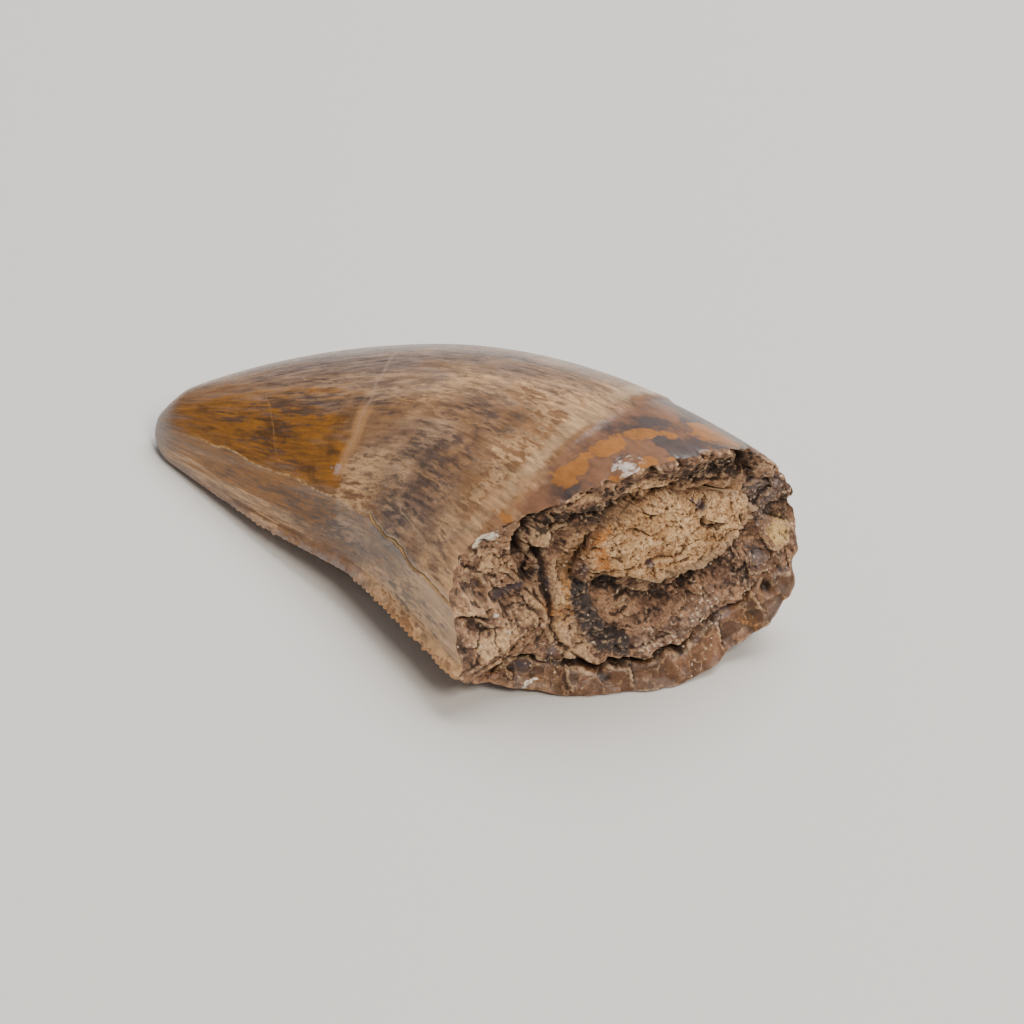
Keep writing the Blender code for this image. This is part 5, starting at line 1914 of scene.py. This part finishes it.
    def fracture(
        self, tree: bpy.types.NodeTree, shader: bpy.types.Node, point: Socket, grit: Socket,
        glassy: Socket, spark: Socket,
    ) -> None:
        """Sets the dull and the glassy gloss, and the fine relief.

        Args:
            tree: The material's nodes.
            shader: The material's shader.
            point: The place, mm.
            grit: Fine noise.
            glassy: How far each point belongs to the chips.
            spark: A value of each crystal's own.
        """
        rough = add(tree, "MapRange", {0: spark, 3: 0.62, 4: 0.30})
        rough = add(tree, "MapRange", {0: glassy, 3: rough, 4: 0.36})
        tree.links.new(rough, shader.inputs["Roughness"])
        shader.inputs["IOR"].default_value = 1.5
        shader.inputs["Specular IOR Level"].default_value = 0.35
        fine = add(tree, "TexNoise", {
            "Vector": point, "Scale": 1 / 0.2, "Detail": 4.0, "Roughness": 0.7,
        })
        height = add(tree, "Mix", {0: 0.5, 2: grit, 3: fine})
        depth = add(tree, "MapRange", {0: glassy, 3: 0.8, 4: 0.12})
        bump = add(tree, "Bump", {"Strength": depth, "Distance": 0.3 * MM, "Height": height})
        tree.links.new(bump, shader.inputs["Normal"])


@dataclass(frozen=True)
class WeatheredSandstone:
    """Fine buff sandstone, broken and brushed clean: dull, grainy and cracked."""

    stains: tuple[Stain, ...] = (
        Stain("grey_strata", "#9B7F66", Grain.GRIT, 1.4, 0.8),
        Stain("iron_sand", "#B06C2A", Grain.GRIT, 2.2, 0.85, 0.6),
        # painted shade in the sandstone's sunk cracks and dips
        Stain("sand_crack_shade", "#4A3222", Grain.GRIT, 1.4, 0.9),
        Stain("pebble", "#54434A", Grain.MOTTLE, 0.4, 1.0),
        # darker towards the sandstone's outline
        Stain("outline_darkening", "#8A6A50", Grain.GRIT, 2.2, 0.6, 0.8),
    )

    def made(self) -> bpy.types.Material:
        """Mixes the finish.

        Returns:
            The material.
        """
        material, tree, shader = new_material("weathered_sandstone")
        placed = add(tree, "TexCoord", out="Object")
        point = add(tree, "VectorMath", {0: placed, 3: 1 / MM}, operation="SCALE")
        mottle = add(tree, "TexNoise", {
            "Vector": point, "Scale": 1 / 1.6, "Detail": 6.0, "Roughness": 0.6,
        })
        grit = add(tree, "TexNoise", {
            "Vector": point, "Scale": 1 / 0.3, "Detail": 5.0, "Roughness": 0.7,
        })
        cover = add(tree, "MapRange", {0: mottle, 1: 0.35, 2: 0.65}, **SMOOTH)
        colour = add(tree, "Mix", {0: cover, 6: "#BC9163", 7: "#E2BC8C"}, **PAINT)
        cover = add(tree, "MapRange", {0: grit, 1: 0.50, 2: 0.38}, **SMOOTH)
        colour = add(tree, "Mix", {0: cover, 6: colour, 7: "#80593A"}, **PAINT)
        grains = add(tree, "TexNoise", {
            "Vector": point, "Scale": 1 / 0.13, "Detail": 2.0, "Roughness": 0.6,
        })
        shade = add(tree, "MapRange", {0: grains, 1: 0.3, 2: 0.7, 3: 0.68, 4: 1.3})
        shade = add(tree, "CombineColor", {0: shade, 1: shade, 2: shade})
        colour = add(tree, "Mix", {0: 1.0, 6: colour, 7: shade}, **PAINT, blend_type="MULTIPLY")
        noises = {Grain.STREAKS: mottle, Grain.MOTTLE: mottle, Grain.GRIT: grit}
        colour = lay_stains(tree, colour, self.stains, noises)
        # painted shade in the concave crevices of the grain
        crest = add(tree, "Attribute", attribute_name="crest", out="Fac")
        share = add(tree, "MapRange", {0: crest, 1: -0.015, 2: -0.1, 4: 0.85}, **SMOOTH)
        colour = add(tree, "Mix", {0: share, 6: colour, 7: "#4A3020"}, **PAINT)
        # painted shade in the broad hollows
        hollow = add(tree, "Attribute", attribute_name="hollow", out="Fac")
        shade = add(tree, "MapRange", {0: hollow, 1: -0.05, 2: -0.35, 4: 0.6}, **SMOOTH)
        colour = add(tree, "Mix", {0: shade, 6: colour, 7: "#5A3D27"}, **PAINT)
        # painted highlight on the convex crests, partly wear
        wear_and_highlight = add(tree, "MapRange", {0: crest, 1: 0.015, 2: 0.1, 4: 0.35}, **SMOOTH)
        colour = add(tree, "Mix", {0: wear_and_highlight, 6: colour, 7: "#E6CBA2"}, **PAINT)
        tree.links.new(colour, shader.inputs["Base Color"])
        shader.inputs["Roughness"].default_value = 0.85
        fine = add(tree, "TexNoise", {
            "Vector": point, "Scale": 1 / 0.16, "Detail": 3.0, "Roughness": 0.7,
        })
        height = add(tree, "Mix", {0: 0.5, 2: grit, 3: fine})
        bump = add(tree, "Bump", {"Strength": 0.9, "Distance": 0.2 * MM, "Height": height})
        tree.links.new(bump, shader.inputs["Normal"])
        return material


@dataclass
class ToothBuilder:
    """Carries grids onto the tooth's form and closes them into one mesh."""

    tooth: Tooth
    finishes: tuple[bpy.types.Material, ...]  # of the flank, then of the break
    seam: float = 2e-6  # metres between corners that are one

    def coarse_part(self) -> bpy.types.Object:
        """Makes the flank, from the band behind the rim to the tip.

        Returns:
            The flank, open behind the rim.
        """
        s, turn, place = self.tooth.coarse()
        across, along = s.shape[1] - 1, s.shape[0] - 1
        obj = grid("tooth_flank", across, along)
        column, row = grid_order(obj, across, along)
        place = place + np.array([*CENTRE_SHIFT, 0.0])
        place[:, -1] = place[:, 0]
        place[-1] = place[-1, 0]
        place[..., 0] = place[..., 0].clip(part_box("tooth")[0][0] / MM + 0.005)
        self.dress(obj, {"place": place, "s": s, "turn": turn}, row, column)
        return obj

    def fine_part(self) -> bpy.types.Object:
        """Makes the band behind the rim, the broken end and the cavity.

        Returns:
            The finer mesh, open where it meets the flank.
        """
        values = self.tooth.fine()
        across, along = values["turn"].shape[1] - 1, values["turn"].shape[0] - 1
        obj = grid("tooth_break", across, along)
        column, row = grid_order(obj, across, along)
        place = values["place"]
        place[:, -1] = place[:, 0]
        place[-1] = place[-1].mean(0)
        place[..., 0] = np.minimum(place[..., 0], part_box("tooth")[1][0] / MM - 0.005)
        place[..., 2] = place[..., 2].clip(0)
        self.dress(obj, values, row, column)
        cells = np.arange(across * along) // across >= self.tooth.band_rows
        obj.data.polygons.foreach_set("material_index", cells.astype(np.int32))
        return obj

    def dress(self, obj: bpy.types.Object, values: dict[str, Array], row: Array,
              column: Array) -> None:
        """Carries the grid to its places and stores what its finishes read.

        Args:
            obj: The grid.
            values: What the tooth gave, by row and column.
            row: The row of each vertex.
            column: Its column.
        """
        place, s, turn = values["place"], values["s"], values["turn"]
        carry(obj, place[row, column])
        for finish in self.finishes:
            obj.data.materials.append(finish)
        run = self.tooth.form.from_tip(s)
        chart(obj, (turn / 360)[row, column], (run / CHART_LENGTH)[row, column])
        crack, edge = self.tooth.gaps(s, turn, self.tooth.form.point(s, turn))
        y, z = place[..., 1], place[..., 2]
        warped_y = y + 0.14 * FINE.at(y / 0.8, z / 0.8, 11.0)
        warped_z = z + 0.14 * FINE.at(y / 0.8, z / 0.8, 15.0)
        marks = {name: laid(spots, turn, run) for name, spots in FLANK_MARKS.items()}
        marks |= {name: laid(spots, warped_y, warped_z) for name, spots in BREAK_MARKS.items()}
        marks["root"] = ease(-0.05, 0.3, self.tooth.skin.root(s, turn))
        marks["edge_band"] = mound(self.tooth.skin.root(s, turn) + 1.1, 1.0)
        marks["crack_gap"] = np.abs(crack).clip(0, 2)
        marks["keel"] = self.tooth.carina.stand(s, edge)
        marks["amber"] = marks["amber"] * ease(18.4, 17.3, run)
        _, low = self.tooth.face.zones(y, z)
        marks["glassy_chip"] = np.maximum(marks["glassy_chip"], 0.8 * low)
        marks["sand_dust"] = mound(SandstoneForm.inside(y, z), 0.13)
        marks["girth"] = self.tooth.form.girth(s)
        marks["crest"] = values.get("crest", s * 0)
        marks["hollow"] = values.get("hollow", s * 0)
        for name, value in marks.items():
            mark(obj, name, value[row, column])
        radius, angle = GRAIN_RADIUS, np.radians(turn)
        grain = np.stack([radius * np.cos(angle), radius * np.sin(angle), run], -1)
        layer = obj.data.attributes.new("grain", "FLOAT_VECTOR", "POINT")
        layer.data.foreach_set("vector", grain[row, column].astype(np.float32).ravel())

    def build(self) -> bpy.types.Object:
        """Joins both meshes and bridges the gap between them.

        Returns:
            The finished tooth, one closed mesh.
        """
        parts = [self.coarse_part(), self.fine_part()]
        bpy.ops.object.select_all(action="DESELECT")
        for part in parts:
            part.select_set(True)
        bpy.context.view_layer.objects.active = parts[0]
        bpy.ops.object.join()
        tooth = bpy.context.object
        tooth.name = tooth.data.name = "fossil_tooth"
        bpy.ops.object.mode_set(mode="EDIT")
        bpy.ops.mesh.select_mode(type="EDGE")
        bpy.ops.mesh.select_all(action="SELECT")
        bpy.ops.mesh.remove_doubles(threshold=self.seam)
        select_open_edges()
        bpy.ops.mesh.bridge_edge_loops()
        finish_mesh(50)
        return tooth


@dataclass
class Sandstone:
    """The plug of sandstone in the pulp cavity, its weathered front standing a little proud."""

    across: int = 230
    along: int = 150
    front: float = 0.4

    def surface(self, y: Array, z: Array) -> Array:
        """How far out the sandstone's front lies, mm.

        Args:
            y: Across, mm.
            z: Up, mm.

        Returns:
            The heights over the cavity's mouth.
        """
        inside = SandstoneForm.inside(y, z)
        p, q = to_cavity(y, z)
        bend = 0.5 * BROAD.at(p / 1.6, q / 1.6, 6.0)
        height = self.front + 0.05 * (y - 3.6) + 0.2 * BROAD.layers(y, z, 1.9, 2)
        slab, crack = BROAD.facets((p + bend) / 1.7, (q + bend) / 0.95, 1.0, 0.9)
        open_crack = ease(-0.1, 0.6, BROAD.at(y / 1.4, z / 1.4, 4.0))
        height += 0.19 * slab - 0.22 * crack**3 * open_crack
        height -= 0.35 * ease(0.45, 0.9, FINE.at(y / 0.75, z / 0.55, 19.0))  # pits
        lump, _ = FINE.facets(y, z, 0.5, 1.0)
        grain, _ = FINE.facets(y + 9, z, 0.24, 1.0)
        crumb, _ = BROAD.facets(y + 4, z + 3, 0.85, 1.1)
        pebbly, _ = BROAD.facets(y + 6, z + 1, 0.14, 1.0)
        height += 0.08 * lump + 0.06 * grain + 0.11 * crumb + 0.03 * pebbly
        strata = FINE.at(p / 3.2, q / 0.42 + 0.4 * BROAD.at(p / 1.5, q / 1.5))
        height += 0.12 * strata * ease(0.6, -1.4, q) + 0.08 * FINE.layers(y, z, 0.42, 2)
        # the marks of painted shade are also sunk into the surface
        height -= 0.3 * laid(SANDSTONE_MARKS["sand_crack_shade"], y, z)
        under = ease(8.4, 7.0, z) * ease(-0.6, 0.8, y)  # the lower edge overhangs the cavity
        left = ease(1.0, -2.4, y)  # the left end slopes down to the tooth
        height -= 1.25 * left
        return height - (0.45 + 0.9 * under) * ease(0.09, -0.02, inside) * (1 - 0.6 * left)

    def build(self) -> bpy.types.Object:
        """Carries a grid onto the front and closes it behind, inside the cavity.

        Returns:
            The finished sandstone.
        """
        obj = grid("sandstone_fill", self.across, self.along)
        column, row = grid_order(obj, self.across, self.along)
        a, b = 2 * column / self.across - 1, 2 * row / self.along - 1
        u, v = a * np.sqrt(1 - b * b / 2), b * np.sqrt(1 - a * a / 2)
        angle = np.arctan2(v, u * 1.6)
        reach = np.hypot(u, v) * SandstoneForm.reach(angle)
        y = SandstoneForm.middle[0] + reach * np.cos(angle)
        z = SandstoneForm.middle[1] + reach * np.sin(angle)
        x = MOUTH + self.surface(y, z)
        carry(obj, np.stack([x, y, z], -1))
        for name, spots in SANDSTONE_MARKS.items():
            mark(obj, name, laid(spots, y, z))
        ring = np.zeros((self.along + 1, self.across + 1))
        ring[row, column] = x
        mark(obj, "crest", (ring - blurred(ring, 3))[row, column])
        mark(obj, "hollow", (blurred(ring, 3) - blurred(ring, 16))[row, column])
        # darker towards the sandstone's outline
        mark(obj, "outline_darkening", ease(0.16, 0.0, SandstoneForm.inside(y, z)))
        bpy.ops.object.mode_set(mode="EDIT")
        bpy.ops.mesh.select_mode(type="EDGE")
        select_open_edges()
        bpy.ops.mesh.extrude_region_move(TRANSFORM_OT_translate={"value": (-1.6 * MM, 0, 0)})
        bpy.ops.transform.resize(value=(1, 0.8, 0.8))
        bpy.ops.mesh.extrude_region_move(TRANSFORM_OT_translate={"value": (-0.2 * MM, 0, 0)})
        bpy.ops.mesh.merge(type="CENTER")
        finish_mesh(55)
        return obj


@dataclass
class Studio:
    """The pale table, the soft lights and the camera."""

    target: tuple[float, float, float] = (7.24, -1.59, 6.47)  # mm
    azimuth: float = 59.5
    elevation: float = 33.5
    distance: float = 300.0
    lens: float = 181.8

    def towards(self, azimuth: float, elevation: float) -> Vector:
        """A direction out from the tooth, in degrees: azimuth 0 looks from the -Y side."""
        a, e = math.radians(azimuth), math.radians(elevation)
        return Vector((math.cos(e) * math.sin(a), -math.cos(e) * math.cos(a), math.sin(e)))

    def camera(self) -> None:
        """Sets the camera up and makes it the scene's own."""
        data = bpy.data.cameras.new("camera")
        data.lens, data.sensor_width = self.lens, 36.0
        data.clip_start = 0.01
        obj = bpy.data.objects.new("camera", data)
        bpy.context.scene.collection.objects.link(obj)
        out = self.towards(self.azimuth, self.elevation)
        obj.location = (Vector(self.target) + out * self.distance) * MM
        obj.rotation_euler = out.to_track_quat("Z", "Y").to_euler()
        bpy.context.scene.camera = obj

    def light(self, name: str, azimuth: float, elevation: float, away: float,
              size: tuple[float, float], power: float, colour: str) -> None:
        """Adds a soft light, aimed at the tooth; lengths in metres.

        Args:
            name: The light's name.
            azimuth: Degrees round, as for the camera.
            elevation: Degrees up.
            away: How far from the tooth.
            size: Its two sides.
            power: Watts.
            colour: A hex code.
        """
        data = bpy.data.lights.new(name, "AREA")
        data.shape, data.size, data.size_y = "RECTANGLE", *size
        data.energy, data.color = power, hex_colour(colour)[:3]
        obj = bpy.data.objects.new(name, data)
        bpy.context.scene.collection.objects.link(obj)
        out = self.towards(azimuth, elevation)
        obj.location = Vector(self.target) * MM + out * away
        obj.rotation_euler = out.to_track_quat("Z", "Y").to_euler()

    def build(self) -> None:
        """Lays the table, hangs the lights and sets the camera."""
        bpy.ops.object.select_all(action="DESELECT")
        bpy.ops.mesh.primitive_plane_add(size=3.0)
        floor = bpy.context.object
        floor.name = "table"
        paper = bpy.data.materials.new("matt_paper")
        paper.use_nodes = True
        shader = paper.node_tree.nodes["Principled BSDF"]
        shader.inputs["Base Color"].default_value = hex_colour("#D9D7D2")
        shader.inputs["Roughness"].default_value = 0.9
        floor.data.materials.append(paper)
        world = bpy.data.worlds.new("studio")
        world.use_nodes = True
        world.node_tree.nodes["Background"].inputs[0].default_value = hex_colour("#E4E6EA")
        world.node_tree.nodes["Background"].inputs[1].default_value = 0.32
        bpy.context.scene.world = world
        self.light("top_softbox", 200, 62, 0.55, (0.5, 0.35), 4.1, "#FFFFFF")
        self.light("front_softbox", 88, 44, 0.6, (0.2, 0.2), 2.9, "#FFF3E6")
        self.camera()


def main() -> None:
    """Builds the tooth, its sandstone and the table it lies on."""
    logging.basicConfig(level=logging.INFO)
    form = CrownForm()
    carina = Carina(form)
    finishes = (PolishedEnamel().made(), BrokenDentine().made())
    tooth = ToothBuilder(Tooth(form, carina, Skin(form, carina), Break()), finishes).build()
    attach(tooth, "root")
    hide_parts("tooth")
    log.info("tooth: %d corners", len(tooth.data.vertices))
    sandstone = Sandstone().build()
    sandstone.data.materials.clear()
    sandstone.data.materials.append(WeatheredSandstone().made())
    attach(sandstone, "root")
    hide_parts("sediment_fill")
    log.info("sandstone: %d corners", len(sandstone.data.vertices))
    Studio().build()


if __name__ == "__main__":
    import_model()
    main()
